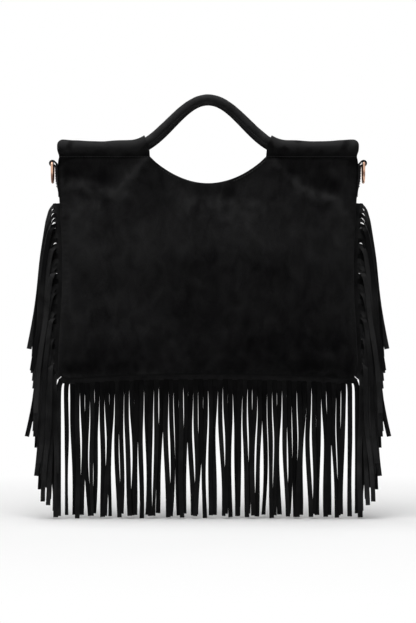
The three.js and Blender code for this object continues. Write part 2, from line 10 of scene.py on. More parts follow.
import logging
import math
from dataclasses import dataclass, field
from enum import Enum
from functools import cache
from typing import Sequence

import bmesh
import bpy
import numpy as np
from bpy.types import ID, Material, Mesh, Node, NodeSocket, NodeTree, Object, bpy_prop_collection
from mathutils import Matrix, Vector, noise


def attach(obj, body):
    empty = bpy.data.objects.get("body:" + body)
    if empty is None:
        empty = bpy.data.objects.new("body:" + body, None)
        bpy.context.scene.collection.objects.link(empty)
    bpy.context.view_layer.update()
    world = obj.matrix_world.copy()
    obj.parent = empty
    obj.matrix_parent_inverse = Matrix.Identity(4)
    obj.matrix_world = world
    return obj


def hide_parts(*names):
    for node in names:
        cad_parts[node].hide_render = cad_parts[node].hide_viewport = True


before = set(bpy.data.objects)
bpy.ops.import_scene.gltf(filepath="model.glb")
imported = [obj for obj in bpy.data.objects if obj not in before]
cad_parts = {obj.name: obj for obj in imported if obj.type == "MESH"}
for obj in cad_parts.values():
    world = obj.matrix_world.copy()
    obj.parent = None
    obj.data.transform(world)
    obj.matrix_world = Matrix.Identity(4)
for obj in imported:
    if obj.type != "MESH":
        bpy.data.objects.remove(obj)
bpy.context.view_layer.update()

LOG = logging.getLogger("fringed_bag")
METRE = 0.001
BAG = "bag"
Array = np.ndarray
Tone = tuple[float, float, float]
Strip = tuple[np.ndarray, np.ndarray]
Given = dict[str | int, object]
DEPTHWISE = np.array([0.0, 1.0, 0.0])


class Way(Enum):
    """One of two ways; the value is the sign of its axis."""

    @property
    def word(self) -> str:
        """The way's name in piece names."""
        return self.name.lower()


class Side(Way):
    """Left or right of the bag, seen from the front."""

    LEFT = -1
    RIGHT = 1


class Face(Way):
    """Front or back of the bag."""

    FRONT = -1
    BACK = 1


class Seed:
    """Where each repeatable spread of the strips, and each noise of the skins, starts."""

    WIDTH = 8.0
    SLIT = 9.0
    TONE = 13.0
    SHINE = 14.0
    TIP = 4.0
    SWAY = 1.0
    BOW = 5.0
    WAVE = 15.0
    YAW = 2.5
    STRAY = 3.0
    LENGTH = 6.0
    BEND = 7.0
    CREASE = 21.0
    PATCH = 31.0
    RUB = 41.0
    SWELL = 3.0
    RIPPLE = 7.0
    CASING = 11.0
    WRINKLE = 5.0
    LINING = 9.0


def clamp01(t: Array | float) -> Array:
    """Limits values to the range from 0 to 1."""
    return np.clip(t, 0.0, 1.0)


def smooth(t: Array | float) -> Array:
    """A step from 0 to 1 with soft ends."""
    c = clamp01(t)
    return c * c * (3 - 2 * c)


def mix(a: Array | float, b: Array | float, t: Array | float) -> Array:
    """The value a share t of the way from a to b."""
    return a + (b - a) * t


def bump_at(t: Array | float, centre: float, width: float) -> Array:
    """A soft bump of height 1 round a place."""
    return np.exp(-(((t - centre) / width) ** 2))


def scatter(i: Array | float, seed: float) -> Array:
    """A repeatable spread between -1 and 1 that makes neighbouring strips differ."""
    return np.sin(2.4 * i + seed) * 0.65 + np.sin(5.3 * i + 2 * seed) * 0.35


def cloud(points: Array, size: float, seed: float) -> Array:
    """Soft noise between about -1 and 1.

    Args:
        points: places in millimetres.
        size: distance in millimetres over which the noise changes.
        seed: moves the noise to another place.

    Returns:
        One value for each point.
    """
    shifted = points / size + np.array([seed, 1.7 * seed, 2.3 * seed])
    values = [noise.noise(Vector(p)) for p in shifted.reshape(-1, 3)]
    return np.reshape(values, points.shape[:-1])


def xyz(x: Array | float, y: Array | float, z: Array | float) -> Array:
    """Points from their coordinates, each an array or one number for all."""
    return np.stack(np.broadcast_arrays(x, y, z), axis=-1)


def unit(vectors: Array) -> Array:
    """Vectors brought to length 1."""
    return vectors / np.maximum(np.linalg.norm(vectors, axis=-1, keepdims=True), 1e-9)


# Finishes

NAP_INPUTS = ("Patch Scale", "Stroke Scale", "Grain Scale", "Patch", "Stroke", "Grain")


class Sockets:
    """A small helper that adds nodes to a tree and joins them."""

    def __init__(self, tree: NodeTree) -> None:
        """Keeps the tree that the nodes go into."""
        self.tree = tree

    def add(self, kind: str, given: Given | None = None, **settings: object) -> Node:
        """Adds a node, sets its properties and fills its inputs."""
        node = self.tree.nodes.new(kind)
        for name, value in settings.items():
            setattr(node, name, value)
        self.fill(node, given or {})
        return node

    def fill(self, node: Node, given: Given) -> None:
        """Links a socket, or sets a plain value, on each of a node's named inputs."""
        for key, value in given.items():
            if isinstance(value, NodeSocket):
                self.tree.links.new(value, node.inputs[key])
            else:
                node.inputs[key].default_value = value

    def math(self, operation: str, *values: object) -> NodeSocket:
        """Adds a Math node and returns its result."""
        return self.add("ShaderNodeMath", dict(enumerate(values)), operation=operation).outputs[0]

    def place(self) -> NodeSocket:
        """The place on the object."""
        return self.add("ShaderNodeTexCoord").outputs["Object"]

    def seen(self) -> NodeSocket:
        """1 for what the camera sees, also in a mirror or through glass, and 0 for other light."""
        rays = self.add("ShaderNodeLightPath").outputs
        direct = self.math("MAXIMUM", rays["Is Camera Ray"], rays["Is Glossy Ray"])
        return self.math("MAXIMUM", direct, rays["Is Transmission Ray"])


def input_names(tree: NodeTree) -> dict[str, str]:
    """The identifier of each named input of a tree."""
    items = tree.interface.items_tree
    return {i.name: i.identifier for i in items if i.item_type == "SOCKET" and i.in_out == "INPUT"}


@cache
def nap_group() -> NodeTree:
    """The brushed nap of suede: soft patches, brush strokes and fine grain.

    Returns:
        A shader group with the inputs NAP_INPUTS and the outputs Tone (0 to 1) and Height.
    """
    tree = bpy.data.node_groups.new("suede_nap", "ShaderNodeTree")
    for way, names in (("INPUT", NAP_INPUTS), ("OUTPUT", ("Tone", "Height"))):
        for name in names:
            tree.interface.new_socket(name, in_out=way, socket_type="NodeSocketFloat")
    s = Sockets(tree)
    given = s.add("NodeGroupInput").outputs
    place = s.place()
    stroke_turn = (0.0, math.radians(55), 0.0)
    stroke_stretch = (1.0, 1.0, 0.6)
    turned = {"Vector": place, "Rotation": stroke_turn, "Scale": stroke_stretch}
    brushed = s.add("ShaderNodeMapping", turned)
    layers = []
    for scale, source, detail, warp in (
        ("Patch Scale", place, 5.0, 0.5),
        ("Stroke Scale", brushed.outputs[0], 5.0, 0.6),
        ("Grain Scale", place, 3.0, 0.0),
    ):
        texture = s.add(
            "ShaderNodeTexNoise",
            {"Vector": source, "Scale": given[scale], "Detail": detail, "Distortion": warp},
        )
        layers.append(s.math("SUBTRACT", texture.outputs["Fac"], 0.5))
    tone = 0.5
    for layer, amount in zip(layers, ("Patch", "Stroke", "Grain")):
        tone = s.math("MULTIPLY_ADD", layer, given[amount], tone)
    limited = s.add("ShaderNodeClamp", {0: tone})
    stroke_height = 0.6
    height = s.math("MULTIPLY_ADD", layers[1], stroke_height, layers[2])
    s.add("NodeGroupOutput", {"Tone": limited.outputs[0], "Height": height})
    return tree


def new_material(name: str) -> tuple[Material, Sockets, Node]:
    """A material with an empty tree apart from its shader and output."""
    material = bpy.data.materials.new(name)
    material.use_nodes = True
    return material, Sockets(material.node_tree), material.node_tree.nodes["Principled BSDF"]


def mixed(s: Sockets, factor: NodeSocket, low: Tone, high: Tone) -> NodeSocket:
    """A colour between two tones."""
    given = {"Factor": factor, "A": (*low, 1.0), "B": (*high, 1.0)}
    return s.add("ShaderNodeMix", given, data_type="RGBA").outputs["Result"]


@dataclass(frozen=True)
class Finish:
    """A finish of two tones, at the low and the high end of a pattern that also gives it relief."""

    name: str
    low: Tone
    high: Tone
    bump: float = 0.5
    relief: float = 0.0003
    roughness: float = 0.8

    def pattern(self, s: Sockets, shader: Node) -> tuple[NodeSocket, NodeSocket]:
        """Adds the pattern, sets how the surface shines, and returns the tone and the height."""
        raise NotImplementedError

    @cache
    def material(self) -> Material:
        """The finish as a material, which is made once."""
        material, s, shader = new_material(self.name)
        tone, height = self.pattern(s, shader)
        given = {"Strength": self.bump, "Distance": self.relief, "Height": height}
        relief = s.add("ShaderNodeBump", given)
        colour = mixed(s, tone, self.low, self.high)
        s.fill(shader, {"Base Color": colour, "Normal": relief.outputs["Normal"]})
        return material


@dataclass(frozen=True)
class SuedeFinish(Finish):
    """Napped suede, and how strongly its nap varies."""

    relief: float = 0.0006
    roughness: float = 0.98
    patch_scale: float = 20.0
    stroke_scale: float = 75.0
    grain_scale: float = 1500.0
    patch: float = 0.9
    stroke: float = 0.9
    grain: float = 0.9
    sheen: float = 0.06
    # How strongly the mesh's marks of painted light and nap change the colour
    rub: float = 0.35

    def pattern(self, s: Sockets, shader: Node) -> tuple[NodeSocket, NodeSocket]:
        """Adds the nap, made paler or darker by the mesh's marks, which hold painted highlight and painted
        shade as well as nap.
        """
        amounts = {name: getattr(self, name.lower().replace(" ", "_")) for name in NAP_INPUTS}
        nap = s.add("ShaderNodeGroup", amounts, node_tree=nap_group()).outputs
        # The mesh's marks paint highlight and shade into the colour, as well as paler and darker nap
        marks = s.add("ShaderNodeAttribute", attribute_name="nap_marks")
        light_and_nap_marks = s.math("MULTIPLY", marks.outputs["Fac"], s.math("ADD", nap["Tone"], self.rub))
        tone = s.add("ShaderNodeClamp", {0: s.math("ADD", nap["Tone"], light_and_nap_marks)})
        shine = {
            "Roughness": s.math("MULTIPLY_ADD", nap["Tone"], -0.12, self.roughness),
            "Specular IOR Level": 0.02,
            "Sheen Weight": self.sheen,
            "Sheen Roughness": 0.4,
            "Sheen Tint": (0.5, 0.5, 0.51, 1.0),
        }
        s.fill(shader, shine)
        return tone.outputs[0], nap["Height"]


@dataclass(frozen=True)
class MetalFinish(Finish):
    """Plated metal with faint handling marks, painted dark in patches that stand in for its shaded side and
    its reflection of the dark bag.
    """

    bump: float = 0.08
    relief: float = 0.0002
    roughness: float = 0.12
    mark_scale: float = 420.0
    tarnish_scale: float = 120.0

    def pattern(self, s: Sockets, shader: Node) -> tuple[NodeSocket, NodeSocket]:
        """Adds the dark patches of painted shade and reflection, which colour it, and the marks, which
        roughen it.
        """
        place = s.place()
        fields = []
        for scale, detail in ((self.mark_scale, 5.0), (self.tarnish_scale, 1.0)):
            texture = s.add("ShaderNodeTexNoise", {"Vector": place, "Scale": scale, "Detail": detail})
            fields.append(texture.outputs["Fac"])
        marks, dark_patches = fields
        rough = s.math("MULTIPLY_ADD", marks, 0.16, self.roughness)
        s.fill(shader, {"Roughness": rough, "Metallic": 1.0})
        return s.math("MULTIPLY_ADD", dark_patches, 3.6, -1.3), marks


@dataclass(frozen=True)
class WovenFinish(Finish):
    """A fine twill, a twisted thread or a drawn rod: diagonal ridges over two tones."""

    ridges: float = 260.0
    slub_scale: float = 90.0

    def pattern(self, s: Sockets, shader: Node) -> tuple[NodeSocket, NodeSocket]:
        """Adds the ridges and the uneven yarn."""
        place = s.place()
        wave = s.add(
            "ShaderNodeTexWave",
            {"Vector": place, "Scale": self.ridges, "Distortion": 0.6, "Detail": 2.0},
            wave_type="BANDS",
            bands_direction="DIAGONAL",
        ).outputs["Fac"]
        slubs = s.add("ShaderNodeTexNoise", {"Vector": place, "Scale": self.slub_scale, "Detail": 4.0})
        yarn = s.math("MULTIPLY", slubs.outputs["Fac"], 0.4)
        tone = s.math("MULTIPLY_ADD", wave, 0.6, yarn)
        rough = s.math("MULTIPLY_ADD", tone, -0.15, self.roughness + 0.07)
        s.fill(shader, {"Roughness": rough, "Sheen Weight": 0.15})
        return tone, wave


Marks = tuple[tuple[tuple[tuple[float, float], ...], float, float], ...]

# Creases of a panel, raised as ridges and painted pale along them, partly as nap rubbed pale and partly as
# painted highlight on the ridges: points across and up, width and strength
CREASES: Marks = (
    (((-72, -67), (-80, -77), (-88, -86), (-97, -95), (-104, -103)), 5.0, 1.1),
    (((-167, -94), (-146, -95), (-132, -100), (-115, -107), (-98, -106)), 7.0, 0.9),
    (((-166, -130), (-150, -124), (-128, -120)), 9.0, 0.35),
    (((78, -70), (94, -88), (113, -104), (130, -110), (148, -112)), 6.0, 0.9),
    (((148, -112), (158, -128), (166, -146)), 6.0, 0.6),
    (((-21, -118), (10, -116), (30, -119), (55, -124)), 12.0, 0.5),
)

# Broad areas painted pale (above 0) or dark, in the same form: paler nap in the pale ones, and painted
# shade under the casings, under the cut-out's lip and over the lower panel in the dark ones
NAP_AND_SHADE_AREAS: Marks = (
    (((-160, -80), (-112, -86)), 11.0, -0.4),
    (((100, -84), (146, -94)), 10.0, -0.4),
    (((-9, -103), (26, -104)), 7.0, -0.35),
    (((0, -135), (45, -150)), 30.0, 0.2),
    (((-135, -245), (-85, -250)), 26.0, 0.25),
    (((-166, -150), (-166, -270)), 12.0, 0.2),
    (((166, -160), (166, -280)), 12.0, 0.25),
    (((-150, -310), (150, -310)), 70.0, -0.34),
    (((20, -290), (150, -290)), 34.0, -0.1),
    (((-60, -205), (80, -225)), 60.0, -0.2),
    (((80, -120), (120, -160)), 40.0, -0.15),
)

# Extra outward lean of the side strips that hang apart, counted from the top
SIDE_STRAYS: dict[int, float] = {0: 0.02, 6: -0.005, 18: 0.075, 25: 0.045, 28: 0.05, 31: 0.05}

# Turn about its own length, in radians, of each of the topmost side strips where it bends down
SIDE_BENDS: tuple[float, ...] = (0.8, 1.1, 1.05, 1.3, 0.35, 0.35, 0.4, 1.25, 0.35)

# How many bottom strips hang together at their tips, from the left
BOTTOM_GROUPS: tuple[int, ...] = (
    *(1, 1, 2, 1, 3, 3, 2, 3, 1, 4, 2, 3, 3, 1),
    *(2, 3, 2, 4, 1, 3, 2, 3, 3, 2, 3, 1, 2),
)

BODY_SUEDE = SuedeFinish("body_nap", (0.003, 0.003, 0.0032), (0.0262, 0.0262, 0.0267))
WRAP_SUEDE = SuedeFinish("wrap_nap", (0.012, 0.012, 0.0123), (0.05, 0.05, 0.051), patch_scale=40.0)
FRINGE_SUEDE = SuedeFinish(
    "fringe_nap", (0.008, 0.008, 0.0083), (0.031, 0.031, 0.0315), patch_scale=45.0, patch=1.2
)
# The dark second tone paints shade and the reflected dark bag onto the ring and the snap
ROSE_GOLD = MetalFinish("rose_gold_plating", (0.66, 0.41, 0.29), (0.14, 0.065, 0.045))
LINING_TWILL = WovenFinish("lining_twill", (0.012, 0.011, 0.013), (0.03, 0.028, 0.032))
SEAM_THREAD = WovenFinish(
    "seam_thread", (0.003, 0.003, 0.0032), (0.014, 0.014, 0.0145), bump=0.4, ridges=900.0
)
CORE_PLASTIC = WovenFinish(
    "core_plastic", (0.02, 0.02, 0.02), (0.035, 0.035, 0.035), bump=0.1, roughness=0.5, ridges=60.0
)


# Meshes


def placed(name: str, data: ID) -> Object:
    """A new object with its data, linked to the scene."""
    made = bpy.data.objects.new(name, data)
    bpy.context.scene.collection.objects.link(made)
    return made


def shade(mesh: Mesh, is_smooth: bool) -> None:
    """Shades all faces of a mesh smooth or flat."""
    mesh.polygons.foreach_set("use_smooth", [is_smooth] * len(mesh.polygons))


@dataclass
class Shell:
    """Points and faces that are gathered into one mesh, in millimetres."""

    points: list[Array] = field(default_factory=list)
    faces: list[tuple[int, ...]] = field(default_factory=list)
    count: int = 0

    def add_points(self, points: Array) -> int:
        """Adds points and returns the number of the first one."""
        first = self.count
        self.points.append(np.asarray(points, float).reshape(-1, 3))
        self.count += len(self.points[-1])
        return first

    def add_grid(
        self, grid: Array, wrap_rows: bool = False, wrap_columns: bool = False, flip: bool = False
    ) -> None:
        """Adds a grid of points and its quads.

        Args:
            grid: points by row and column.
            wrap_rows: joins the last row to the first.
            wrap_columns: joins the last column to the first.
            flip: turns the faces round.
        """
        rows, columns = grid.shape[:2]
        first = self.add_points(grid)
        number = first + np.arange(rows * columns).reshape(rows, columns)
        if wrap_rows:
            number = np.vstack([number, number[:1]])
        if wrap_columns:
            number = np.hstack([number, number[:, :1]])
        corners = [number[:-1, :-1], number[:-1, 1:], number[1:, 1:], number[1:, :-1]]
        quads = np.stack(corners, axis=-1)
        if flip:
            quads = quads[..., ::-1]
        self.faces.extend(map(tuple, quads.reshape(-1, 4).tolist()))

    def add_cap(self, ring: Array) -> None:
        """Closes the end of a tube with one face over a ring of points."""
        first = self.add_points(ring)
        self.faces.append(tuple(range(first, first + len(ring))))

    def add_tube(self, grid: Array) -> None:
        """Adds a tube, each row of the grid a ring of points, and closes its ends."""
        self.add_grid(grid, wrap_columns=True)
        for end in (0, -1):
            self.add_cap(grid[end])

    def piece(self, name: str, finish: Material, weld: bool = False) -> Object:
        """Makes the object, smooth shaded, with its place in its mesh.

        Args:
            name: name of the object and its mesh.
            finish: its material.
            weld: merges points that lie on each other and turns the faces out.

        Returns:
            The new object, linked to the scene.
        """
        mesh = bpy.data.meshes.new(name)
        mesh.from_pydata((np.vstack(self.points) * METRE).tolist(), [], self.faces)
        if weld:
            body = bmesh.new()
            body.from_mesh(mesh)
            bmesh.ops.remove_doubles(body, verts=body.verts, dist=1e-6)
            bmesh.ops.recalc_face_normals(body, faces=body.faces)
            body.to_mesh(mesh)
            body.free()
        shade(mesh, True)
        mesh.materials.append(finish)
        mesh.update()
        return placed(name, mesh)


def grid_normals(grid: Array) -> Array:
    """Unit normals of a grid of points, from the directions of its rows and columns."""
    return unit(np.cross(np.gradient(grid, axis=1), np.gradient(grid, axis=0)))


def line_length(line: Array) -> float:
    """Length of a line of points."""
    return float(np.linalg.norm(np.diff(line, axis=0), axis=-1).sum())


def distances(line: Array) -> Array:
    """Distance of each point of a line from its start, along the line."""
    return np.concatenate([[0.0], np.cumsum(np.linalg.norm(np.diff(line, axis=0), axis=-1))])


def resample(line: Array, count: int, is_closed: bool = False) -> Array:
    """Points at even distances along a line; a closed one ends before its start comes again."""
    away = distances(line)
    even = np.linspace(0, away[-1], count, endpoint=not is_closed)
    return np.stack([np.interp(even, away, line[:, k]) for k in range(line.shape[1])], axis=-1)


def thicken(piece: Object, thickness: float) -> None:
    """Gives an open skin its thickness, inwards from its outside face."""
    wall = piece.modifiers.new("wall", "SOLIDIFY")
    wall.thickness = thickness * METRE
    wall.offset = -1.0
    wall.use_even_offset = False
    wall.use_rim = True


def settle(piece: Object, body: str, nodes: Sequence[str] = ()) -> Object:
    """Rides a finished piece on its body and names its slot and the nodes that it stands for."""
    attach(piece, body)
    if nodes:
        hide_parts(*nodes)
    LOG.info("%s rides on %s and stands for %s", piece.name, body, ", ".join(nodes) or "no node")
    return piece


def path_object(name: str, chains: Sequence[Array], **attributes: Sequence[Array]) -> Object:
    """A mesh of open chains of points, with values on its points, for a tree to sweep.

    Args:
        name: name of the object.
        chains: one list of points each, in millimetres.
        attributes: for each name, one list of values for each chain, numbers or vectors.

    Returns:
        The object, linked to the scene.
    """
    edges = []
    first = 0
    for chain in chains:
        edges += [(first + i, first + i + 1) for i in range(len(chain) - 1)]
        first += len(chain)
    mesh = bpy.data.meshes.new(name)
    mesh.from_pydata((np.vstack(chains) * METRE).tolist(), edges, [])
    for key, lists in attributes.items():
        values = np.concatenate([np.asarray(v, np.float32) for v in lists])
        is_vector = values.ndim == 2
        layer = mesh.attributes.new(key, "FLOAT_VECTOR" if is_vector else "FLOAT", "POINT")
        layer.data.foreach_set("vector" if is_vector else "value", values.ravel())
    return placed(name, mesh)


def run_tree(source: Object, tree: NodeTree, **inputs: object) -> Object:
    """Runs a geometry tree on an object and keeps the result as a plain mesh.

    Args:
        source: the object that the tree reads; its mesh is replaced.
        tree: the tree.
        inputs: values by the tree's input names, with _ for a space.

    Returns:
        The same object with its new mesh and no modifier.
    """
    names = input_names(tree)
    modifier = source.modifiers.new(tree.name, "NODES")
    modifier.node_group = tree
    for key, value in inputs.items():
        modifier[names[key.replace("_", " ").title()]] = value
    bpy.context.view_layer.update()
    graph = bpy.context.evaluated_depsgraph_get()
    mesh = bpy.data.meshes.new_from_object(source.evaluated_get(graph))
    source.modifiers.remove(modifier)
    old = source.data
    source.data = mesh
    mesh.name = source.name
    bpy.data.meshes.remove(old)
    for key in [a.name for a in mesh.attributes if a.name.startswith("strip_")]:
        mesh.attributes.remove(mesh.attributes[key])
    return source


def geometry_tree(name: str, sizes: Sequence[str]) -> tuple[NodeTree, Sockets, bpy_prop_collection]:
    """A geometry tree with one geometry in and out, named sizes and a finish.

    Args:
        name: name of the tree.
        sizes: names of the inputs that are lengths.

    Returns:
        The tree, its node helper and the sockets that carry its inputs.
    """
    tree = bpy.data.node_groups.new(name, "GeometryNodeTree")
    tree.interface.new_socket("Geometry", in_out="INPUT", socket_type="NodeSocketGeometry")
    for label in sizes:
        tree.interface.new_socket(label, in_out="INPUT", socket_type="NodeSocketFloat")
    tree.interface.new_socket("Finish", in_out="INPUT", socket_type="NodeSocketMaterial")
    tree.interface.new_socket("Geometry", in_out="OUTPUT", socket_type="NodeSocketGeometry")
    s = Sockets(tree)
    return tree, s, s.add("NodeGroupInput").outputs


def finish_tree(s: Sockets, geometry: NodeSocket, material: NodeSocket) -> None:
    """Ends a tree with real geometry and its material."""
    real = s.add("GeometryNodeRealizeInstances", {0: geometry})
    dressed = s.add("GeometryNodeSetMaterial", {"Geometry": real.outputs[0], "Material": material})
    s.add("NodeGroupOutput", {0: dressed.outputs[0]})


def named_value(s: Sockets, name: str, kind: str) -> NodeSocket:
    """The value of a named attribute in a geometry tree."""
    node = s.add("GeometryNodeInputNamedAttribute", {"Name": name}, data_type=kind)
    return node.outputs["Attribute"]


@cache
def strip_tree() -> NodeTree:
    """Sweeps each chain into a flat strip that faces along its strip_normal.

    Returns:
        A geometry tree with the inputs Strip Width, Strip Thickness and Finish.
    """
    tree, s, given = geometry_tree("fringe_strips", ("Strip Width", "Strip Thickness"))
    line = s.add("GeometryNodeMeshToCurve", {"Mesh": given["Geometry"]})
    normal = named_value(s, "strip_normal", "FLOAT_VECTOR")
    given_normal = {"Curve": line.outputs[0], "Normal": normal}
    facing = s.add("GeometryNodeSetCurveNormal", given_normal, mode="FREE")
    outline = s.add(
        "GeometryNodeCurvePrimitiveQuadrilateral",
        {"Width": given["Strip Thickness"], "Height": given["Strip Width"]},
        mode="RECTANGLE",
    )
    edge_radius = s.math("MULTIPLY", given["Strip Thickness"], 0.4)
    eased = s.add(
        "GeometryNodeFilletCurve",
        {"Curve": outline.outputs[0], "Count": 1, "Radius": edge_radius},
        mode="POLY",
    )
    swept = s.add(
        "GeometryNodeCurveToMesh",
        {
            "Curve": facing.outputs[0],
            "Profile Curve": eased.outputs[0],
            "Scale": named_value(s, "strip_scale", "FLOAT"),
            "Fill Caps": True,
        },
    )
    finish_tree(s, swept.outputs[0], given["Finish"])
    return tree


@cache
def stitch_tree() -> NodeTree:
    """Sets stitches along each chain.

    Returns:
        A geometry tree with the inputs Stitch Pitch, Stitch Length, Thread Width and Finish.
    """
    tree, s, given = geometry_tree("seam_stitches", ("Stitch Pitch", "Stitch Length", "Thread Width"))
    line = s.add("GeometryNodeMeshToCurve", {"Mesh": given["Geometry"]})
    spots = s.add(
        "GeometryNodeCurveToPoints",
        {"Curve": line.outputs[0], "Length": given["Stitch Pitch"]},
        mode="LENGTH",
    )
    bead = s.add("GeometryNodeMeshUVSphere", {"Segments": 8, "Rings": 6, "Radius": 0.5})
    thread = given["Thread Width"]
    size = s.add("ShaderNodeCombineXYZ", {"X": thread, "Y": thread, "Z": given["Stitch Length"]})
    ahead = {"Vector": spots.outputs["Tangent"]}
    turn = s.add("FunctionNodeAlignRotationToVector", ahead, axis="Z")
    set_on = s.add(
        "GeometryNodeInstanceOnPoints",
        {
            "Points": spots.outputs["Points"],
            "Instance": bead.outputs["Mesh"],
            "Rotation": turn.outputs[0],
            "Scale": size.outputs[0],
        },
    )
    finish_tree(s, set_on.outputs[0], given["Finish"])
    return tree


def stitches(name: str, chains: Sequence[Array], pitch: float, length: float, width: float) -> Object:
    """A row of stitches along each chain of points, as one piece that rides on the bag."""
    piece = run_tree(
        path_object(name, chains),
        stitch_tree(),
        stitch_pitch=pitch * METRE,
        stitch_length=length * METRE,
        thread_width=width * METRE,
        finish=SEAM_THREAD.material(),
    )
    shade(piece.data, True)
    return settle(piece, BAG)


# The bag


def middles(values: Array) -> Array:
    """The values half way between neighbours."""
    return (values[1:] + values[:-1]) / 2


def kept_points(close: Sequence[int], start: int, last: int, count: int) -> Array:
    """Numbers of the points that a finely stepped line keeps: close ones, then count more from start."""
    return np.unique(np.concatenate([close, np.linspace(start, last, count).astype(int)]))


@dataclass(frozen=True)
class PouchForm:
    """The form of the pouch, with the same sizes and rules as the part's solids."""

    body_width: float = 350.0
    body_height: float = 260.0
    body_depth: float = 56.0
    suede: float = 1.8
    seam_round: float = 24.0
    corner_radius: float = 14.0
    hem_arch: float = 6.0
    waist: float = 5.0
    mouth_spacing: float = 26.0
    mouth_notch: float = 12.0
    cutout_half_width: float = 68.0
    cutout_depth: float = 31.0
    wrap_radius: float = 5.75
    handle_rise: float = 56.2
    handle_half_span: float = 91.0
    casing_drop: float = 11.2
    casing_ease: float = 0.6
    fringe_thickness: float = 1.2
    fit: float = 0.3

    @property
    def half(self) -> float:
        """Half of the body's width."""
        return self.body_width / 2

    @property
    def rod_level(self) -> float:
        """Level of the straight ends of the handle rod."""
        return self.wrap_radius - self.handle_rise

    @property
    def stitch_level(self) -> float:
        """Level of the casing's stitch line."""
        return self.rod_level - self.casing_drop

    @property
    def hem_line(self) -> float:
        """Level of the bottom edge at the corners, before they are rounded."""
        return self.stitch_level - self.body_height

    @property
    def seam_half(self) -> float:
        """Half of the gap between the panels' edges."""
        return self.fringe_thickness / 2 + self.fit

    @property
    def mouth_depth(self) -> float:
        """Distance of a panel's outside from the seam plane at the stitch line."""
        return (self.mouth_spacing + self.suede) / 2

    def half_width(self, z: Array) -> Array:
        """Half width of the body at a level."""
        down = clamp01((self.stitch_level - z) / self.body_height)
        return self.half - self.waist * np.sin(np.pi * down) ** 2

    def hem_level(self, x: Array, inset: float = 0.0) -> Array:
        """Level of the bottom edge, raised by an inset for a layer further in."""
        arch = self.hem_arch * (1 - clamp01(np.abs(x) / self.half) ** 2)
        radius = max(self.corner_radius - inset, self.suede)
        past = np.maximum(0.0, np.abs(x) - (self.half - inset - radius))
        corner = radius - np.sqrt(np.maximum(0.0, radius**2 - past**2))
        return self.hem_line + inset + arch + corner

    def top_level(self, x: Array) -> Array:
        """Level of the top edge: the stitch line, or the curve of the grip cut-out."""
        across = clamp01(np.abs(x) / self.cutout_half_width)
        return self.stitch_level - self.cutout_depth * (1 - across**2)

    def fullness(self, distance: Array) -> Array:
        """How full the pouch is at a distance from its seam, from 0 to 1."""
        return np.sqrt(np.maximum(0.0, 1 - (1 - clamp01(distance / self.seam_round)) ** 2))

    def depth(self, x: Array, z: Array, low: Array, edge: float, inset: float, rim: float) -> Array:
        """Distance of a layer of the pouch from the seam plane.

        Args:
            x: places across.
            z: levels.
            low: level of the layer's own bottom edge at those places.
            edge: how far in the layer's edge lies from the seam.
            inset: how far in the layer lies from the outside.
            rim: its distance from the seam plane at its edge.

        Returns:
            One distance for each place.
        """
        below = smooth((self.stitch_level - z) / (0.55 * self.body_height))
        full = mix(self.mouth_depth, self.body_depth / 2, below) - inset
        reach = self.half_width(z) - edge
        pillow = self.fullness(reach - np.abs(x)) * self.fullness(z - low)
        notch = clamp01((z - self.stitch_level + self.mouth_notch) / self.mouth_notch)
        return mix(rim, full, np.maximum(pillow, notch))

    def rod(self, x: Array) -> tuple[Array, Array]:
        """Level of the handle rod's centre and the slope of the rod."""
        turn = np.pi * clamp01(np.abs(x) / self.handle_half_span)
        level = self.rod_level + self.handle_rise / 2 * (1 + np.cos(turn))
        steep = self.handle_rise * np.pi / (2 * self.handle_half_span) * np.sin(turn)
        return level, -np.sign(x) * steep


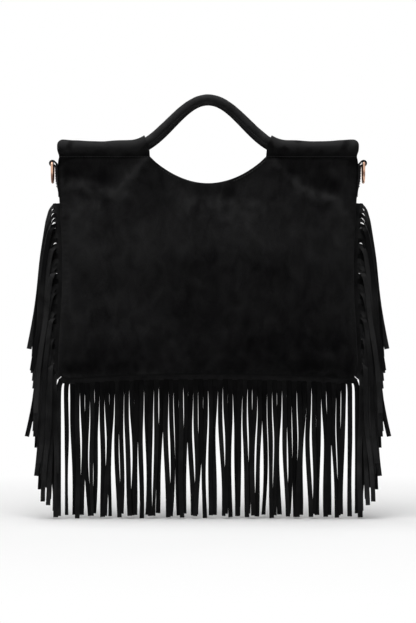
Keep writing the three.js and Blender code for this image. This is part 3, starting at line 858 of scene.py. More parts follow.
@dataclass
class SuedePanel:
    """One panel with its two casings: a single skin that folds over the handle rod."""

    form: PouchForm
    face: Face
    centre_columns: int = 30
    shoulder_columns: int = 34
    edge_columns: int = 14
    hem_rows: int = 16
    body_rows: int = 96
    casing_stations: int = 64
    casing_points: int = 44
    end_steps: int = 12
    roll_steps: int = 26
    roll_span: tuple[float, float] = (-38.0, 222.0)
    slant: float = 6.0
    end_round: float = 6.0
    end_tuck: float = 5.2
    end_swell: float = 0.5
    casing_wander: float = 0.3
    casing_softness: float = 0.45
    # Painted shade below and painted highlight on top of the casings, as marks on the nap
    casing_tones: tuple[float, float] = (-0.15, 1.3)
    casing_sag: float = 1.2
    sag_place: float = 125.0
    turned_in: float = 9.0
    seam_pinch: float = 2.2
    seam_lift: float = 2.0
    edge_shade: float = 0.7
    swell: float = 1.6
    ripple: float = 0.6
    crease_height: float = 2.0
    crease_valley: float = 0.8
    casing_hollow: float = 1.5
    lip_hollow: float = 1.2
    held_edge: float = 18.0
    pucker: float = 0.5
    pucker_pitch: float = 7.0

    def columns(self) -> Array:
        """Places across the panel as shares of its half width."""
        f = self.form
        cut = f.cutout_half_width / f.half
        shoulder = 1 - f.seam_round / f.half
        half = np.concatenate(
            [
                np.linspace(0, cut, self.centre_columns + 1)[1:],
                np.linspace(cut, shoulder, self.shoulder_columns + 1)[1:],
                mix(shoulder, 1, np.sin(np.pi / 2 * np.linspace(0, 1, self.edge_columns + 1)[1:])),
            ]
        )
        return np.concatenate([-half[::-1], [0.0], half])

    def near_line(self, x: Array, z: Array, points: Sequence[tuple[float, float]], width: float) -> Array:
        """How close each place lies to a line of points, from 0 to 1, over the line's width."""
        place = np.stack([x * -self.face.value, z], axis=-1)
        nearest = np.full_like(x, 1e9)
        for start, end in zip(points[:-1], points[1:]):
            a, b = np.array(start), np.array(end)
            share = clamp01(((place - a) @ (b - a)) / ((b - a) @ (b - a)))
            nearest = np.minimum(nearest, np.linalg.norm(place - a - share[..., None] * (b - a), axis=-1))
        return bump_at(nearest, 0.0, width)

    def creases(self, x: Array, z: Array, spread: float) -> Array:
        """How close each place lies to a crease, from 0 to about 1.

        Args:
            x: places across.
            z: levels.
            spread: widens each crease by this factor.

        Returns:
            One value for each place.
        """
        total = np.zeros_like(x)
        for points, width, strength in CREASES:
            total = np.maximum(total, strength * self.near_line(x, z, points, width * spread))
        return total

    def nap_marks(self, x: Array, z: Array) -> Array:
        """How much paler (above 0) or darker each place of the panel is painted: nap, painted highlight
        along the creases, and painted shade at the rim and in the dark areas.
        """
        flow = xyz(x, 25.0 * self.face.value, z)
        # Painted highlight and paler nap along the creases, broken up by noise
        marks = self.creases(x, z, 1.0) * clamp01(0.7 + 1.3 * cloud(flow, 9.0, Seed.CREASE))
        inside = self.form.half_width(z) - self.pinch(z) - np.abs(x)
        rim = np.minimum(inside, z - self.form.hem_level(x))
        marks -= self.edge_shade * bump_at(np.maximum(rim, 0.0), 0.0, 2.0)
        patchy = clamp01(1.0 + 0.8 * cloud(flow, 14.0, Seed.PATCH))
        # Paler nap in the pale areas and painted shade in the dark ones
        for points, width, strength in NAP_AND_SHADE_AREAS:
            marks += strength * patchy * self.near_line(x, z, points, width)
        return marks

    def casing_marks(self, points: Array) -> Array:
        """How pale the casings are painted: mottled nap, with a painted highlight on top and painted shade
        below.
        """
        upper = smooth((points[:, 2] - self.form.stitch_level - 2.0) / 10.0)
        return clamp01(0.85 + 1.8 * cloud(points, 11.0, Seed.RUB)) * mix(*self.casing_tones, upper)

    def folds(self, x: Array, z: Array) -> Array:
        """How far the skin stands out in folds and creases, in millimetres."""
        f = self.form
        a = np.abs(x)
        down = f.stitch_level - z
        flow = xyz(x, 40.0 * self.face.value, z)
        swell = cloud(flow, 75.0, Seed.SWELL) * self.swell + cloud(flow, 30.0, Seed.RIPPLE) * self.ripple
        valley = self.crease_valley * self.creases(x, z + 14.0, 1.4)
        ridge = self.crease_height * self.creases(x, z, 1.0) - valley
        beside = smooth((a - f.cutout_half_width - 8) / 30.0)
        under_casing = -self.casing_hollow * bump_at(down, 16.0, 9.0) * beside
        seam = 1.0 * bump_at(down, 4.5, 2.6) - 1.4 * bump_at(down, 0.0, 1.6)
        seam = seam * smooth((a - f.cutout_half_width + 2) / 4.0)
        scoop = f.stitch_level - f.top_level(x)
        lip = -self.lip_hollow * bump_at(down - scoop, 12.0, 9.0) * (1 - smooth((a - 40) / 25.0))
        return swell + ridge + under_casing + seam + lip

    def pinch(self, z: Array) -> Array:
        """How far the casing's seam draws the panel's side in, by level."""
        return self.seam_pinch * bump_at(z, self.form.stitch_level, 5.0)

    def body_grid(self) -> Array:
        """Points of the panel's outside, by row and column."""
        f = self.form
        across = self.columns()
        low = f.hem_level(across * f.half)
        high = f.top_level(across * f.half)
        beside = np.abs(across * f.half) - f.cutout_half_width
        high = high + self.seam_lift * smooth((beside - 1.0) / 3.0)
        hem = (1 - np.cos(np.pi / 2 * np.linspace(0, 1, self.hem_rows + 1))) * f.seam_round
        share = np.linspace(0, 1, self.body_rows + 1)[1:]
        z = np.vstack([low + hem[:, None], mix(low + f.seam_round, high, share[:, None])])
        reach = f.half_width(z)
        depth = f.depth(across * reach, z, low, 0.0, 0.0, f.seam_half)
        x = across * (reach - self.pinch(z))
        grid = xyz(x, self.face.value * depth, z)
        normal = -self.face.value * grid_normals(grid)
        near = np.minimum(reach - self.pinch(z) - np.abs(x), z - low)
        grid += normal * (self.folds(x, z) * smooth(near / self.held_edge))[..., None]
        wave = 2 * np.pi / self.pucker_pitch
        pucker = np.sin(wave * z) * bump_at(reach - np.abs(x), 5.0, 4.0)
        pucker += np.sin(wave * x) * bump_at(z - low, 5.0, 4.0)
        grid += normal * (self.pucker * pucker * smooth(near / 2.0))[..., None]
        return grid

    def casing_line(self, place: float, drawn: float) -> Array:
        """The line of a casing round the rod at one place along the bag.

        Args:
            place: distance from the middle of the bag.
            drawn: how far the casing's closed end draws in there.

        Returns:
            Points at even distances, with the distance out from the rod as the second coordinate.
        """
        f = self.form
        angle = np.radians(np.linspace(*self.roll_span, self.roll_steps))
        rise = np.sin(angle)
        past = (place - f.cutout_half_width) / (f.handle_half_span - f.cutout_half_width)
        along = place + self.slant * clamp01(1 - past) * clamp01(0.5 + 0.5 * rise)
        level, slope = f.rod(along)
        wander = self.casing_wander * math.sin(place / 11.0 + self.face.value)
        wander += self.end_swell * bump_at(place, f.half - 9.0, 6.0)
        radius = f.wrap_radius + f.casing_ease + f.suede
        radius = radius + wander * clamp01((f.half - place) / 5.0) - drawn
        up = radius * rise * np.where(rise > 0, np.hypot(1, slope), 1.0) + level
        hem = self.turned_in * float(mix(1.0, 0.02, smooth((place - f.half + 32.0) / 16.0)))
        ends = []
        for lip in (
            ((0.2, -2.5), (0.75, -0.6), (1.4, 1.2)),
            ((-1.6, 1.0), (-1.8, -hem / 3), (-2.6, -hem)),
        ):
            ends.append([(place, out, f.stitch_level + over) for out, over in lip])
        line = np.vstack([ends[0], xyz(along, radius * np.cos(angle), up), ends[1]])
        return resample(line, self.casing_points)

    def casing_grid(self, side: Side) -> Array:
        """Points of one casing's outside, by station along the bag and place round the rod."""
        f = self.form
        turn = np.linspace(0, np.pi / 2, self.end_steps)
        straight = np.linspace(f.cutout_half_width, f.half - self.end_round, self.casing_stations)[:-1]
        places = np.concatenate([straight, f.half - self.end_round * (1 - np.sin(turn))])
        tuck = np.concatenate([np.zeros(len(straight)), self.end_tuck * (1 - np.cos(turn))])
        lines = np.array([self.casing_line(place, drawn) for place, drawn in zip(places, tuck)])
        y = self.face.value * (f.mouth_spacing / 2 + lines[..., 1])
        grid = xyz(side.value * lines[..., 0], y, lines[..., 2])
        soft = self.casing_softness * cloud(grid, 16.0, Seed.CASING + side.value)
        outward = side.value * self.face.value * grid_normals(grid)
        outer = smooth((np.abs(grid[..., 0]) - f.half + 26.0) / 26.0)
        grid[..., 0] -= side.value * self.pinch(grid[..., 2]) * outer
        high = smooth((grid[..., 2] - f.stitch_level - 4.0) / 14.0)
        grid[..., 2] -= self.casing_sag * high * bump_at(np.abs(grid[..., 0]), self.sag_place, 26.0)
        fade = np.sin(np.pi * np.linspace(0, 1, grid.shape[1])) ** 0.5
        fade = fade * clamp01((f.half - np.abs(grid[..., 0])) / 8.0)
        return grid + outward * (soft * fade)[..., None]

    def build(self) -> None:
        """Makes the panel with its casings and stitching."""
        shell = Shell()
        body = self.body_grid()
        shell.add_grid(body, flip=self.face is Face.BACK)
        casings = [self.casing_grid(side) for side in Side]
        for side, casing in zip(Side, casings):
            shell.add_grid(casing, flip=side.value * self.face.value < 0)
        name = f"{self.face.word}_panel"
        piece = shell.piece(f"{name}_skin", BODY_SUEDE.material())
        flow, *rolls = (grid.reshape(-1, 3) for grid in (body, *casings))
        marks = [self.nap_marks(flow[:, 0], flow[:, 2]), self.casing_marks(np.vstack(rolls))]
        layer = piece.data.attributes.new("nap_marks", "FLOAT", "POINT")
        layer.data.foreach_set("value", np.concatenate(marks).astype(np.float32))
        thicken(piece, self.form.suede)
        settle(piece, BAG, [name])
        length = line_length(body[:, self.edge_columns + 5])
        length += line_length(casings[0][self.casing_stations // 2])
        self.stitch()

    def stitch(self) -> Object:
        """Sews the casing line and the edge of the cut-out."""
        f = self.form
        y = self.face.value * (f.mouth_depth + 0.15)
        x = np.linspace(f.cutout_half_width + 2, f.half - 5, 60)
        chains = [xyz(side.value * x, y, f.stitch_level) for side in Side]
        x = np.linspace(-f.cutout_half_width + 3, f.cutout_half_width - 3, 90)
        z = f.top_level(x) - 3.2
        depth = f.depth(x, z, f.hem_level(x), 0.0, 0.0, f.seam_half)
        chains.append(xyz(x, self.face.value * (depth + 0.1), z))
        return stitches(f"{self.face.word}_panel_stitches", chains, pitch=3.4, length=2.5, width=0.75)


@dataclass
class HandleWrap:
    """The suede sleeve round one handle rod, with its sewn seam inside the arch."""

    form: PouchForm
    face: Face
    fin: float = 2.2
    fin_spread: float = 0.34
    groove: float = 0.8
    slim: float = 0.5
    sag: float = 0.25
    lip_place: float = 0.8
    lip_spread: float = 0.16
    wrinkle: float = 0.22
    stitch_place: float = 0.62
    setback: float = 5.0
    thickness: float = 1.1
    stations: int = 200
    sides: int = 36

    def fin_at(self, x: Array) -> Array:
        """Height of the seam: it stands up along the flanks and dies out at the crown."""
        return self.fin * smooth(1.6 * np.abs(x) / self.form.handle_half_span - 0.1)

    def section_frame(self, x: Array) -> tuple[Array, Array]:
        """Centres of the rod and directions away from the middle of the arch."""
        level, slope = self.form.rod(x)
        centre = xyz(x, self.face.value * self.form.mouth_spacing / 2, level - self.sag)
        return centre, unit(xyz(-slope, 0.0, 1.0))

    def build(self) -> None:
        """Makes the sleeve and the stitches of its seam."""
        end = self.form.half - self.setback
        x = np.linspace(-end, end, self.stations)
        centre, outward = self.section_frame(x)
        angle = np.linspace(0, 2 * np.pi, self.sides, endpoint=False)
        lips = bump_at(angle, math.pi - self.lip_place, self.lip_spread)
        lips += bump_at(angle, math.pi + self.lip_place, self.lip_spread)
        section = bump_at(angle, math.pi, self.fin_spread) - self.groove / self.fin * lips
        fin = self.fin_at(x)[:, None] * section
        flat = xyz(x[:, None], angle * 6, 0.0)
        crease = self.wrinkle * cloud(flat, 5.0, Seed.WRINKLE + self.face.value)
        smooth_part = 1 - bump_at(angle, math.pi, 0.6)
        reach = self.form.wrap_radius - self.slim + fin + crease * smooth_part
        grid = centre[:, None] + outward[:, None] * (reach * np.cos(angle))[..., None]
        grid = grid + DEPTHWISE * (reach * np.sin(angle))[..., None]
        shell = Shell()
        shell.add_grid(grid, wrap_columns=True, flip=True)
        name = f"{self.face.word}_handle_wrap"
        piece = shell.piece(f"{name}_skin", WRAP_SUEDE.material())
        thicken(piece, self.thickness)
        settle(piece, BAG, [name])
        self.stitch()

    def stitch(self) -> Object:
        """Sews the seam on both faces of its fin."""
        span = self.form.cutout_half_width + 2
        x = np.linspace(-span, span, 120)
        centre, outward = self.section_frame(x)
        chains = []
        for way in (-1, 1):
            angle = math.pi + way * self.stitch_place
            lift = self.fin_at(x) * bump_at(angle, math.pi, self.fin_spread) - 0.25
            reach = self.form.wrap_radius - self.slim + lift
            aside = outward * math.cos(angle) + DEPTHWISE * math.sin(angle)
            chains.append(centre + aside * reach[:, None])
        return stitches(f"{self.face.word}_handle_stitches", chains, pitch=3.0, length=2.2, width=0.6)


@dataclass
class Fringe:
    """The cut fringe that is caught in the seam down both sides and along the bottom."""

    form: PouchForm
    pitch: float = 5.8
    width: float = 5.5
    root: float = 1.0
    header_inside: float = 5.0
    header_outside: float = 5.2
    side_length: float = 172.0
    bottom_length: float = 156.0
    side_drop: float = 53.0
    side_height: float = 194.0
    corner_strips: int = 2
    corner_sweep: float = 46.0
    corner_end: float = 88.0
    side_layers: int = 9
    side_layer_step: float = 1.9
    side_turn: float = 4.8
    side_lean: float = 0.125
    side_flare: float = 0.07
    side_flare_length: float = 25.0
    side_stray: float = 0.0175
    side_inward: float = -0.022
    stray_length: float = 90.0
    side_wave: float = 1.4
    shoulder: float = 0.6
    bend_shine: float = 1.3
    bottom_tone: float = -0.5
    bottom_layers: int = 3
    bottom_layer_step: float = 2.2
    bottom_turn: float = 4.0
    bottom_sway: float = 4.6
    bottom_bow: float = 2.04
    bottom_wave: float = 0.9
    bottom_yaw: float = 0.65
    bottom_gather: float = 0.4
    tip_spread: float = 6.0
    uncut_width: float = 1.13
    own_width: float = 1.01
    own_width_spread: float = 0.07
    slit_depth: float = 30.0
    slit_spread: float = 8.0
    tone_spread: tuple[float, float] = (0.2, 0.75)
    streaks: tuple[float, float] = (0.1, 0.15)
    shine_place: tuple[float, float] = (8.0, 6.0)
    step: float = 0.25

    def header(self, shell: Shell, inner: Array, outer: Array) -> None:
        """Adds the uncut edge between the seam and the strips, as a closed band."""
        half = self.form.fringe_thickness / 2 * DEPTHWISE
        grid = np.stack([inner - half, outer - half, outer + half, inner + half])
        shell.add_grid(grid, wrap_rows=True)
        for end in (0, -1):
            shell.add_cap(grid[:, end])

    def root_width(self, i: int, line: Array) -> Array:
        """Width of a strip along its line, as a share: uncut at first, then its own width."""
        own = self.own_width + self.own_width_spread * scatter(i, Seed.WIDTH)
        begin = self.slit_spread * scatter(i, Seed.SLIT) - self.slit_spread / 2
        return mix(self.uncut_width, own, smooth((distances(line) - begin) / self.slit_depth))

    def nap(self, i: int, line: Array, bend: float) -> Array:
        """How pale a strip is painted along its length: its own tone, and a painted highlight where its
        bend faces the light.
        """
        away = distances(line)
        spread = self.tone_spread[0] + self.tone_spread[1] * bend
        tone = mix(self.bottom_tone, 0.0, min(bend, 1.0)) + spread * scatter(i, Seed.TONE)
        streak = self.streaks[0] + self.streaks[1] * bend
        streak = streak * np.sin(away / 21.0 + 2.3 * i)
        # Painted highlight on the bend, where it faces the lamp
        shine = bend * (0.6 + 0.4 * scatter(i, Seed.SHINE))
        return tone + streak + shine * bump_at(away, *self.shine_place)

    def finish_piece(
        self, name: str, strips: list[Strip], inner: Array, outer: Array, bend: float
    ) -> None:
        """Sweeps the strips, joins the header to them and settles the piece.

        Args:
            name: the node that the piece stands for.
            strips: for each strip its line and how it faces along that line.
            inner: the header's edge in the seam.
            outer: the header's edge at the strips.
            bend: how bright a highlight is painted on the strips' bends.
        """
        chains = [line for line, _ in strips]
        piece = run_tree(
            path_object(
                f"{name}_strips",
                chains,
                strip_normal=[facing for _, facing in strips],
                strip_scale=[self.root_width(i, line) for i, line in enumerate(chains)],
                nap_marks=[self.nap(i, line, bend) for i, line in enumerate(chains)],
            ),
            strip_tree(),
            strip_width=self.width * METRE,
            strip_thickness=self.form.fringe_thickness * METRE,
            finish=FRINGE_SUEDE.material(),
        )
        header = Shell()
        self.header(header, inner, outer)
        band = header.piece(f"{name}_header", FRINGE_SUEDE.material(), weld=True)
        joined = bmesh.new()
        joined.from_mesh(piece.data)
        joined.from_mesh(band.data)
        joined.to_mesh(piece.data)
        joined.free()
        bpy.data.objects.remove(band)
        shade(piece.data, False)
        settle(piece, BAG, [name])

    def hang(
        self, start: Array, side: float, leave: float, turn: float, lean: Array
    ) -> tuple[Array, Array]:
        """The line of a strip that leaves its header at an angle and turns down.

        Args:
            start: where it leaves the header.
            side: -1 or 1, the way that it leaves.
            leave: angle below level at which it leaves.
            turn: size of the bend.
            lean: outward lean at each step along the strip.

        Returns:
            The points at each step, and the angle below level there.
        """
        along = np.arange(len(lean)) * self.step
        angle = mix(np.pi / 2 - np.arctan(lean), leave, np.exp(-along / turn))
        ahead = xyz(side * np.cos(angle), 0.0, -np.sin(angle)) * self.step
        line = start + np.vstack([np.zeros((1, 3)), np.cumsum(ahead, axis=0)[:-1]])
        line[0] -= ahead[0] * self.root / self.step
        return line, angle

    def corner_turns(self, sweep: float) -> Array:
        """Angles at the cuts round a corner over a sweep given in degrees."""
        return np.radians(np.arange(1, self.corner_strips + 1) * sweep / self.corner_strips)

    def corner(self, leave: Array) -> tuple[Array, Array]:
        """The header's inner and outer edge round the right corner, at angles below level."""
        f = self.form
        away = xyz(np.cos(leave), 0.0, -np.sin(leave))
        centre = np.array([f.half - f.corner_radius, 0.0, f.hem_line + f.corner_radius])
        inner = centre + away * (f.corner_radius - self.header_inside)
        return inner, centre + away * (f.corner_radius + self.header_outside)

    def bottom_boundaries(self) -> tuple[Array, Array, Array]:
        """The header's inner and outer edge at each cut along the bottom, and the angle it leaves at."""
        f = self.form
        straight = f.half - f.corner_radius
        count = round(2 * straight / self.pitch)
        x = np.linspace(-straight, straight, count + 1)
        sweep = np.pi / 2 - self.corner_turns(self.corner_sweep)
        mirror = np.array([-1.0, 1.0, 1.0])
        edges = []
        for reach, corner in zip((self.header_inside, -self.header_outside), self.corner(sweep)):
            middle = xyz(x, 0.0, f.hem_level(x) + reach)
            edges.append(np.vstack([corner[::-1] * mirror, middle, corner]))
        leave = np.concatenate([sweep[::-1], np.full(count + 1, np.pi / 2), sweep])
        return edges[0], edges[1], leave

    def gather(self, i: int) -> float:
        """How far the tip of a bottom strip moves across towards the middle of its group."""
        first = 0
        for size in BOTTOM_GROUPS * 2:
            if i < first + size:
                break
            first += size
        return self.bottom_gather * self.pitch * ((size - 1) / 2 - (i - first))

    def bottom_strip(self, i: int, start: Array, leave: float) -> Strip:
        """The line of a bottom strip and the way it faces along that line."""
        lowest = self.form.hem_line - self.header_outside - self.bottom_length
        tip = lowest + self.tip_spread / 2 * (1 + scatter(i, Seed.TIP))
        side = -1.0 if start[0] < 0 else 1.0
        steps = int((start[2] - tip) / self.step)
        line, _ = self.hang(start, side, leave, self.bottom_turn, np.zeros(steps))
        share = np.linspace(0, 1, len(line))
        layer = (i % self.bottom_layers) - (self.bottom_layers - 1) / 2
        freedom = (2 * leave / np.pi) ** 6
        loose = freedom * smooth((share - 0.04) / 0.4)
        sway = self.gather(i) + self.bottom_sway * (0.35 * math.sin(0.61 * i) + 0.2 * scatter(i, Seed.SWAY))
        line[:, 0] += loose * sway * share**1.2
        line[:, 0] += loose * self.bottom_bow * scatter(i, Seed.BOW) * np.sin(np.pi * share)
        line[:, 0] += loose * self.bottom_wave * np.sin(6.4 * share + 1.3 * i + scatter(i, Seed.WAVE))
        line[:, 1] += layer * self.bottom_layer_step * mix(0.1, 1.0, smooth(share / 0.12))
        line[:, 1] += 0.5 * np.sin(4 * share + i) * smooth(share)
        yaw = self.bottom_yaw * scatter(i, Seed.YAW) * smooth((share - 0.15) / 0.6)
        yaw += 0.3 * np.sin(5 * share + i) * smooth((share - 0.1) / 0.5)
        facing = xyz(np.sin(yaw), -np.cos(yaw), 0.0)
        picks = kept_points([0, *range(2, 72, 10)], 72, len(line) - 1, 18)
        return line[picks], facing[picks]

    def build_bottom(self) -> None:
        """Makes the fringe along the bottom."""
        inner, outer, leave = self.bottom_boundaries()
        between = zip(middles(outer), middles(leave))
        strips = [self.bottom_strip(i, start, angle) for i, (start, angle) in enumerate(between)]
        self.finish_piece("bottom_fringe", strips, inner, outer, 0.0)

    def side_strip(self, i: int, count: int, start: Array, leave: float, side: Side) -> Strip:
        """The line of a side strip, which leaves the seam sideways and turns down, and how it faces."""
        down = i / (count - 1)
        freedom = 1 - float(clamp01((down - 0.5) / 0.45)) ** 1.3
        first = 1 - float(smooth(i / 4))
        usual = self.side_inward + self.side_stray * scatter(i, Seed.STRAY)
        stray = SIDE_STRAYS.get(i, usual)
        layer = (self.side_layers - 1) / 2 - ((2 * i) % self.side_layers)
        length = self.side_length + 4.0 * scatter(i, Seed.LENGTH) + 2.0 * first - 6.0 * float(down > 0.9)
        along = np.arange(0, length, self.step)
        lean = self.side_lean + (1 - first) * self.side_flare * np.exp(-along / self.side_flare_length)
        lean = freedom * lean + stray * smooth(along / self.stray_length)
        turn = self.side_turn * (mix(0.4, 1.0, freedom) + 0.15 * first)
        line, angle = self.hang(start, side.value, leave, turn, lean)
        wave = self.side_wave * np.sin(along / 26.0 + 1.7 * i) * smooth((along - 20.0) / 70.0)
        line[:, 0] += side.value * wave
        line[:, 1] += layer * self.side_layer_step * smooth(along / 10.0)
        line[:, 1] += 0.6 * np.sin(along / 30.0 + i) * smooth(along / 40.0)
        bend = SIDE_BENDS[i] if i < len(SIDE_BENDS) else 0.36 + 0.1 * scatter(i, Seed.BEND)
        twist = -bend * smooth((along - 0.5) / 4.0) * (1 - smooth((along - 12.0) / 18.0))
        twist = twist + smooth((along - 25.0) / 90.0) * 0.6 * scatter(i, Seed.STRAY)
        upright = xyz(-side.value * np.sin(angle), 0.0, -np.cos(angle))
        facing = upright * np.sin(twist)[:, None] - DEPTHWISE * np.cos(twist)[:, None]
        picks = kept_points(range(0, 90, 6), 90, len(along) - 1, 16)
        return line[picks], facing[picks]

    def build_side(self, side: Side) -> None:
        """Makes the fringe down one side, with its last strips round the bottom corner."""
        count = round(self.side_height / self.pitch)
        z = self.form.stitch_level - self.side_drop - np.linspace(0, self.side_height, count + 1)
        reach = self.form.half_width(z)
        turn = self.corner_turns(self.corner_end - self.corner_sweep)
        way = np.array([side.value, 1.0, 1.0])
        edges = []
        for out, corner in zip((-self.header_inside, self.header_outside), self.corner(turn)):
            edges.append(np.vstack([xyz(reach + out, 0.0, z), corner]) * way)
        inner, outer = edges
        outer[0, 2] -= self.shoulder
        leave = np.concatenate([np.zeros_like(z), turn])
        between = zip(middles(outer), middles(leave))
        total = len(outer) - 1
        strips = []
        for i, (start, angle) in enumerate(between):
            strips.append(self.side_strip(i, total, start, angle, side))
        self.finish_piece(f"{side.word}_fringe", strips, inner, outer, self.bend_shine)


@dataclass
class Lining:
    """The open pouch of cloth inside the panels."""

    form: PouchForm
    thickness: float = 0.8
    ease: float = 0.5
    headroom: float = 3.0
    slack: float = 1.2
    header_inside: float = 5.0
    columns: int = 90
    rows: int = 70

    def build(self) -> None:
        """Makes the lining."""
        f = self.form
        edge = self.header_inside + f.fit
        inset = f.suede + self.ease
        u = np.sin(np.pi / 2 * np.linspace(-1, 1, self.columns))
        low = f.hem_level(u * (f.half - edge), edge)
        high = np.minimum(f.top_level(u * f.half), f.stitch_level - f.mouth_notch) - self.headroom
        z = mix(low, high, (1 - np.cos(np.pi / 2 * np.linspace(0, 1, self.rows)))[:, None])
        x = u * (f.half_width(z) - edge)
        depth = f.depth(x, z, low, edge, inset, 0.0)
        hold = smooth(depth / 12.0) * smooth((high - z) / 8.0)
        shell = Shell()
        for face in Face:
            grid = xyz(x, face.value * depth, z)
            slack = self.slack * (cloud(grid, 40.0, Seed.LINING + face.value) + 0.6)
            grid[..., 1] -= face.value * np.maximum(slack, 0.0) * hold
            shell.add_grid(grid, flip=face is Face.BACK)
        piece = shell.piece("lining_pouch", LINING_TWILL.material(), weld=True)
        thicken(piece, self.thickness)
        settle(piece, BAG, ["lining"])


@dataclass
class RingHanger:
    """A strap ring and the folded tab that it hangs in."""

    form: PouchForm
    side: Side
    wire: float = 3.2
    ring_width: float = 22.0
    ring_drop: float = 22.0
    clearance: float = 0.4
    tab_width: float = 14.0
    tab_thickness: float = 2.2
    patch: float = 2.8
    tab_length: float = 39.0
    tab_taper: float = 1.6
    below_stitch: float = 7.0
    out: float = 6.2
    ring_corner: float = 2.6
    ring_stations: int = 96
    wire_sides: int = 20
    tab_stations: int = 120
    tab_sides: int = 28

    @property
    def pivot(self) -> Array:
        """Centre of the ring's bar."""
        x = self.side.value * (self.form.half + self.out)
        return np.array([x, 0.0, self.form.stitch_level - self.below_stitch])

    @property
    def drift(self) -> float:
        """How far the tab's lower end lies further in, where it follows the bag's side."""
        low = self.pivot[2] - self.tab_length
        return 0.9 * (self.form.half - float(self.form.half_width(np.array(low))))

    def taper(self, z: Array) -> Array:
        """How far the tab's outer layer draws in to the side, by level below the bar."""
        return self.tab_taper * smooth((-z - self.tab_length + 24.0) / 24.0)

    def ring_line(self) -> Array:
        """The wire's centre line: a straight bar, rounded corners and a long bow."""
        half, corner = self.ring_width / 2, self.ring_corner
        bow = np.radians(np.linspace(8, 172, 60))
        points = [np.stack([half * np.cos(bow), -self.ring_drop * np.sin(bow)], axis=-1)]
        for way, span in ((-1, (180, 90)), (1, (90, 0))):
            turn = np.radians(np.linspace(*span, 9))
            centre = np.array([way * (half - corner), -corner])
            points.append(centre + corner * np.stack([np.cos(turn), np.sin(turn)], axis=-1))
        flat = resample(np.vstack([*points, points[0][:1]]), self.ring_stations, is_closed=True)
        return xyz(0.0, flat[:, 0], flat[:, 1])

    def build_ring(self) -> None:
        """Makes the ring."""
        line = self.ring_line()
        ahead = unit(np.roll(line, -1, axis=0) - np.roll(line, 1, axis=0))
        sideways = np.array([1.0, 0.0, 0.0])
        across = np.cross(ahead, sideways)
        angle = np.linspace(0, 2 * np.pi, self.wire_sides, endpoint=False)
        radius = self.wire / 2
        grid = line[:, None] + sideways * (radius * np.cos(angle))[None, :, None]
        grid = grid + across[:, None] * (radius * np.sin(angle))[None, :, None]
        shell = Shell()
        shell.add_grid(grid + self.pivot, wrap_rows=True, wrap_columns=True)
        name = f"{self.side.word}_strap_ring"
        piece = shell.piece(f"{name}_wire", ROSE_GOLD.material(), weld=True)
        settle(piece, f"{self.side.word}_ring", [name])

    def tab_outline(self) -> Array:
        """The tab's centre strip seen from the front: the loop, then the two sewn layers below it."""
        radius = self.wire / 2 + self.clearance + self.tab_thickness / 2
        back = -(self.out - self.form.fit) + self.patch / 4
        face = back + self.patch / 2
        end, middle = -self.tab_length, -self.tab_length / 2
        over = np.radians(np.linspace(140, -146, 44))
        loop = radius * np.stack([np.cos(over), np.sin(over)], axis=-1)
        inner_end = [(back, level) for level in (end, middle, -6.0, -1.0)]
        outer_end = [(face, level) for level in (-4.6, middle, end)]
        line = np.vstack([inner_end, loop, outer_end])
        line[:, 0] -= self.drift * clamp01(-line[:, 1] / self.tab_length)
        return line

    def build_tab(self) -> None:
        """Makes the tab and its box of stitches."""
        line = self.tab_outline()
        path = resample(line, self.tab_stations)
        for _ in range(3):
            path[1:-1] = (path[:-2] + 2 * path[1:-1] + path[2:]) / 4
        ahead = unit(np.gradient(path, axis=0))
        normal = np.stack([ahead[:, 1], -ahead[:, 0]], axis=-1)
        in_loop = bump_at(np.linspace(0, 1, len(path)), 0.5, 0.16)
        half_thick = mix(self.patch / 4 - 0.05, self.tab_thickness / 2, smooth(in_loop * 1.5))
        half_thick = half_thick * (1 - 0.5 * self.taper(path[:, 1]) / self.tab_taper)
        path[:, 0] -= self.taper(path[:, 1]) * (0.5 + smooth(np.linspace(-1, 1, len(path)) * 9))
        turn = np.linspace(0, 2 * np.pi, self.tab_sides, endpoint=False)
        across = np.sign(np.cos(turn)) * np.abs(np.cos(turn)) ** 0.25 * self.tab_width / 2
        out = np.sign(np.sin(turn)) * np.abs(np.sin(turn)) ** 0.5
        flat = path[:, None] + normal[:, None] * (half_thick[:, None] * out)[..., None]
        shell = Shell()
        shell.add_tube(xyz(self.side.value * flat[..., 0], across, flat[..., 1]) + self.pivot)
        name = f"{self.side.word}_ring_tab"
        piece = shell.piece(f"{name}_strip", WRAP_SUEDE.material(), weld=True)
        settle(piece, BAG, [name])
        self.stitch_tab()

    def stitch_tab(self) -> Object:
        """Sews the tab's two layers to the side in a box of stitches."""
        x = -(self.out - self.form.fit) + self.patch + 0.1
        half = self.tab_width / 2 - 2.0
        top, bottom = -9.0, -self.tab_length + 12.0
        corners = np.array([[-half, top], [-half, bottom], [half, bottom], [half, top], [-half, top]])
        chains = []
        for start, end in zip(corners[:-1], corners[1:]):
            across, level = mix(start, end, np.linspace(0, 1, 12)[:, None]).T
            drawn = self.drift * clamp01(-level / self.tab_length) + 1.25 * self.taper(level)
            chains.append(xyz(self.side.value * (x - drawn), across, level) + self.pivot)
        return stitches(f"{self.side.word}_tab_stitches", chains, pitch=2.8, length=2.0, width=0.6)

    def build(self) -> None:
        """Makes the tab and the ring."""
        self.build_tab()
        self.build_ring()


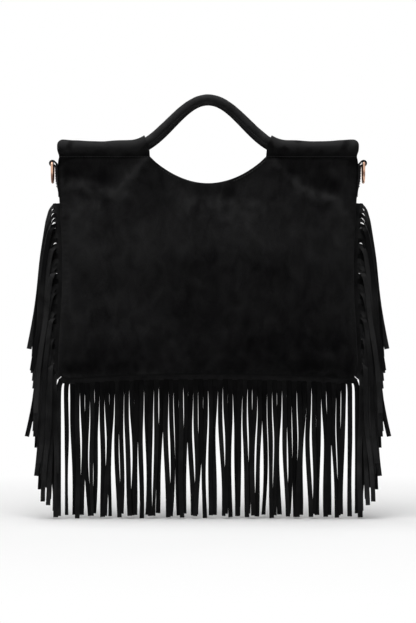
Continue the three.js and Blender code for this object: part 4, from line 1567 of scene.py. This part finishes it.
@dataclass
class MagneticSnap:
    """The two halves of the snap inside the mouth."""

    form: PouchForm
    diameter: float = 18.0
    plate: float = 1.2
    boss_diameter: float = 11.0
    boss: float = 2.0
    stud_diameter: float = 5.0
    drop: float = 20.0
    lining: float = 0.8
    lining_ease: float = 0.5
    header_inside: float = 5.0
    edge_ease: float = 0.25
    hub: float = 0.02
    segments: int = 56

    def seat(self) -> tuple[float, float, float]:
        """Distance of the cloth from the seam plane under the snap, its level, and its lean."""
        f = self.form
        edge = self.header_inside + f.fit + self.lining
        level = f.stitch_level - f.cutout_depth - self.drop
        z = level + np.array([0.5, -0.5, 0.0]) * self.diameter
        x = np.zeros(3)
        depth = f.depth(x, z, f.hem_level(x, edge), edge, f.suede + self.lining_ease + self.lining, 0.0)
        lean = math.atan((depth[1] - depth[0]) / self.diameter)
        return min((depth[0] + depth[1]) / 2, depth[2]), level, lean

    def profile(self, is_socket: bool) -> Array:
        """Radius and height of the turned outline, with small rounded edges."""
        plate, top = self.diameter / 2, self.plate + self.boss
        boss = (self.boss_diameter if is_socket else self.stud_diameter) / 2
        ease, hub = self.edge_ease, self.hub
        points = [(hub, 0.0), (plate - ease, 0.0), (plate, ease), (plate, self.plate - ease)]
        points += [(plate - ease, self.plate), (boss + ease, self.plate), (boss, self.plate + ease)]
        points += [(boss, top - ease), (boss - ease, top)]
        if is_socket:
            well = self.stud_diameter / 2 + self.form.fit
            floor = self.plate + 0.05
            points += [(well + ease, top), (well, top - ease), (well, floor), (hub, floor)]
        else:
            points += [(hub, top)]
        return np.array(points)

    def build(self) -> None:
        """Makes the socket on the front lining and the stud on the back one."""
        depth, level, lean = self.seat()
        angle = np.linspace(0, 2 * np.pi, self.segments, endpoint=False)
        for name, face in (("snap_socket", Face.FRONT), ("snap_stud", Face.BACK)):
            radius, height = self.profile(face is Face.FRONT).T[..., None]
            up = radius * np.sin(angle)
            out = height + 2 * self.form.fit
            y = face.value * (depth - out * math.cos(lean) - up * math.sin(lean))
            z = level + up * math.cos(lean) - out * math.sin(lean)
            shell = Shell()
            shell.add_tube(xyz(radius * np.cos(angle), y, z))
            piece = shell.piece(f"{name}_turned", ROSE_GOLD.material(), weld=True)
            edge = piece.modifiers.new("edges", "EDGE_SPLIT")
            edge.split_angle = math.radians(50)
            settle(piece, BAG, [name])


# The studio


@dataclass
class Studio:
    """Floor, light and camera at the photograph's viewing angle."""

    millimetres_per_pixel: float = 1.1667
    image_height: int = 623
    origin_row: float = 104.7
    camera_distance: float = 2400.0
    floor_level: float = -483.2
    sensor: float = 24.0
    floor_glow: float = 0.01
    floor_half: float = 9.0
    floor_fade: tuple[float, float] = (0.25, 0.7)
    floor_tone: Tone = (0.89, 0.89, 0.89)
    aim_level: float = -220.0
    surround: float = 0.08

    def floor(self) -> None:
        """A pale floor that keeps the object's shadow near it and fades into the white surround."""
        half = self.floor_half
        z = self.floor_level * METRE
        mesh = bpy.data.meshes.new("floor")
        corners = [(-half, -half, z), (half, -half, z), (half, half, z), (-half, half, z)]
        mesh.from_pydata(corners, [], [(0, 1, 2, 3)])
        material, s, shader = new_material("pale_floor")
        flat = s.add("ShaderNodeVectorMath", {0: s.place(), 1: (0.8, 1.0, 0.0)}, operation="MULTIPLY")
        far = s.add("ShaderNodeVectorMath", {0: flat.outputs[0]}, operation="LENGTH")
        near_end, far_end = self.floor_fade
        fade = s.add(
            "ShaderNodeMapRange",
            {"Value": far.outputs["Value"], "From Min": near_end, "From Max": far_end},
            interpolation_type="SMOOTHSTEP",
        ).outputs["Result"]
        glow = s.math("MULTIPLY_ADD", fade, 1.0 - self.floor_glow, self.floor_glow)
        look = {
            "Base Color": mixed(s, fade, self.floor_tone, (0.0, 0.0, 0.0)),
            "Roughness": 1.0,
            "Specular IOR Level": 0.0,
            "Emission Color": (1.0, 1.0, 1.0, 1.0),
            "Emission Strength": s.math("MULTIPLY", s.seen(), glow),
        }
        s.fill(shader, look)
        mesh.materials.append(material)
        placed("floor", mesh)

    def world(self) -> None:
        """A white surround that lights the object softly."""
        world = bpy.data.worlds.new("studio")
        bpy.context.scene.world = world
        world.use_nodes = True
        s = Sockets(world.node_tree)
        strength = s.math("MULTIPLY_ADD", s.seen(), 1.0 - self.surround, self.surround)
        background = world.node_tree.nodes["Background"]
        s.fill(background, {"Color": (1.0, 1.0, 1.0, 1.0), "Strength": strength})

    def lamp(self, name: str, place: tuple[float, float, float], size: float, power: float) -> None:
        """A square soft light that points at the middle of the bag."""
        light = bpy.data.lights.new(name, "AREA")
        light.size = size
        light.energy = power
        lamp = placed(name, light)
        lamp.location = place
        aim = Vector((0.0, 0.0, self.aim_level * METRE)) - Vector(place)
        lamp.rotation_euler = aim.to_track_quat("-Z", "Y").to_euler()

    def camera(self) -> None:
        """The level camera straight in front of the bag."""
        data = bpy.data.cameras.new("camera")
        data.sensor_fit = "VERTICAL"
        data.sensor_height = self.sensor
        tall = self.image_height * self.millimetres_per_pixel
        data.lens = self.sensor * self.camera_distance / tall
        data.clip_end = 50.0
        camera = placed("camera", data)
        middle = (self.image_height / 2 - self.origin_row) * self.millimetres_per_pixel
        camera.location = (0.0, -self.camera_distance * METRE, -middle * METRE)
        camera.rotation_euler = (math.pi / 2, 0.0, 0.0)
        bpy.context.scene.camera = camera

    def build(self) -> None:
        """Sets up the floor, the light and the camera."""
        bpy.context.scene.view_settings.view_transform = "Standard"
        self.floor()
        self.world()
        self.lamp("overhead", (-0.15, -0.38, 1.6), size=1.7, power=51.0)
        self.lamp("front_fill", (-1.1, -2.0, 0.5), size=1.2, power=3.0)
        self.lamp("back_fill", (0.9, 1.9, 0.7), size=1.4, power=8.0)
        self.camera()


def dress_cores() -> None:
    """Gives the handle cores, which stay as they are, their finish."""
    for face in Face:
        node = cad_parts[f"{face.word}_handle_core"]
        node.data.materials.clear()
        node.data.materials.append(CORE_PLASTIC.material())


def write_sizes() -> None:
    """Brings the scene up to date."""
    bpy.context.view_layer.update()


def main() -> None:
    """Builds the bag, its stage and its camera."""
    logging.basicConfig(level=logging.INFO, format="%(message)s")
    form = PouchForm()
    for face in Face:
        SuedePanel(form, face).build()
        HandleWrap(form, face).build()
    fringe = Fringe(form)
    fringe.build_bottom()
    for side in Side:
        fringe.build_side(side)
        RingHanger(form, side).build()
    Lining(form).build()
    MagneticSnap(form).build()
    dress_cores()
    Studio().build()
    write_sizes()


if __name__ == "__main__":
    main()
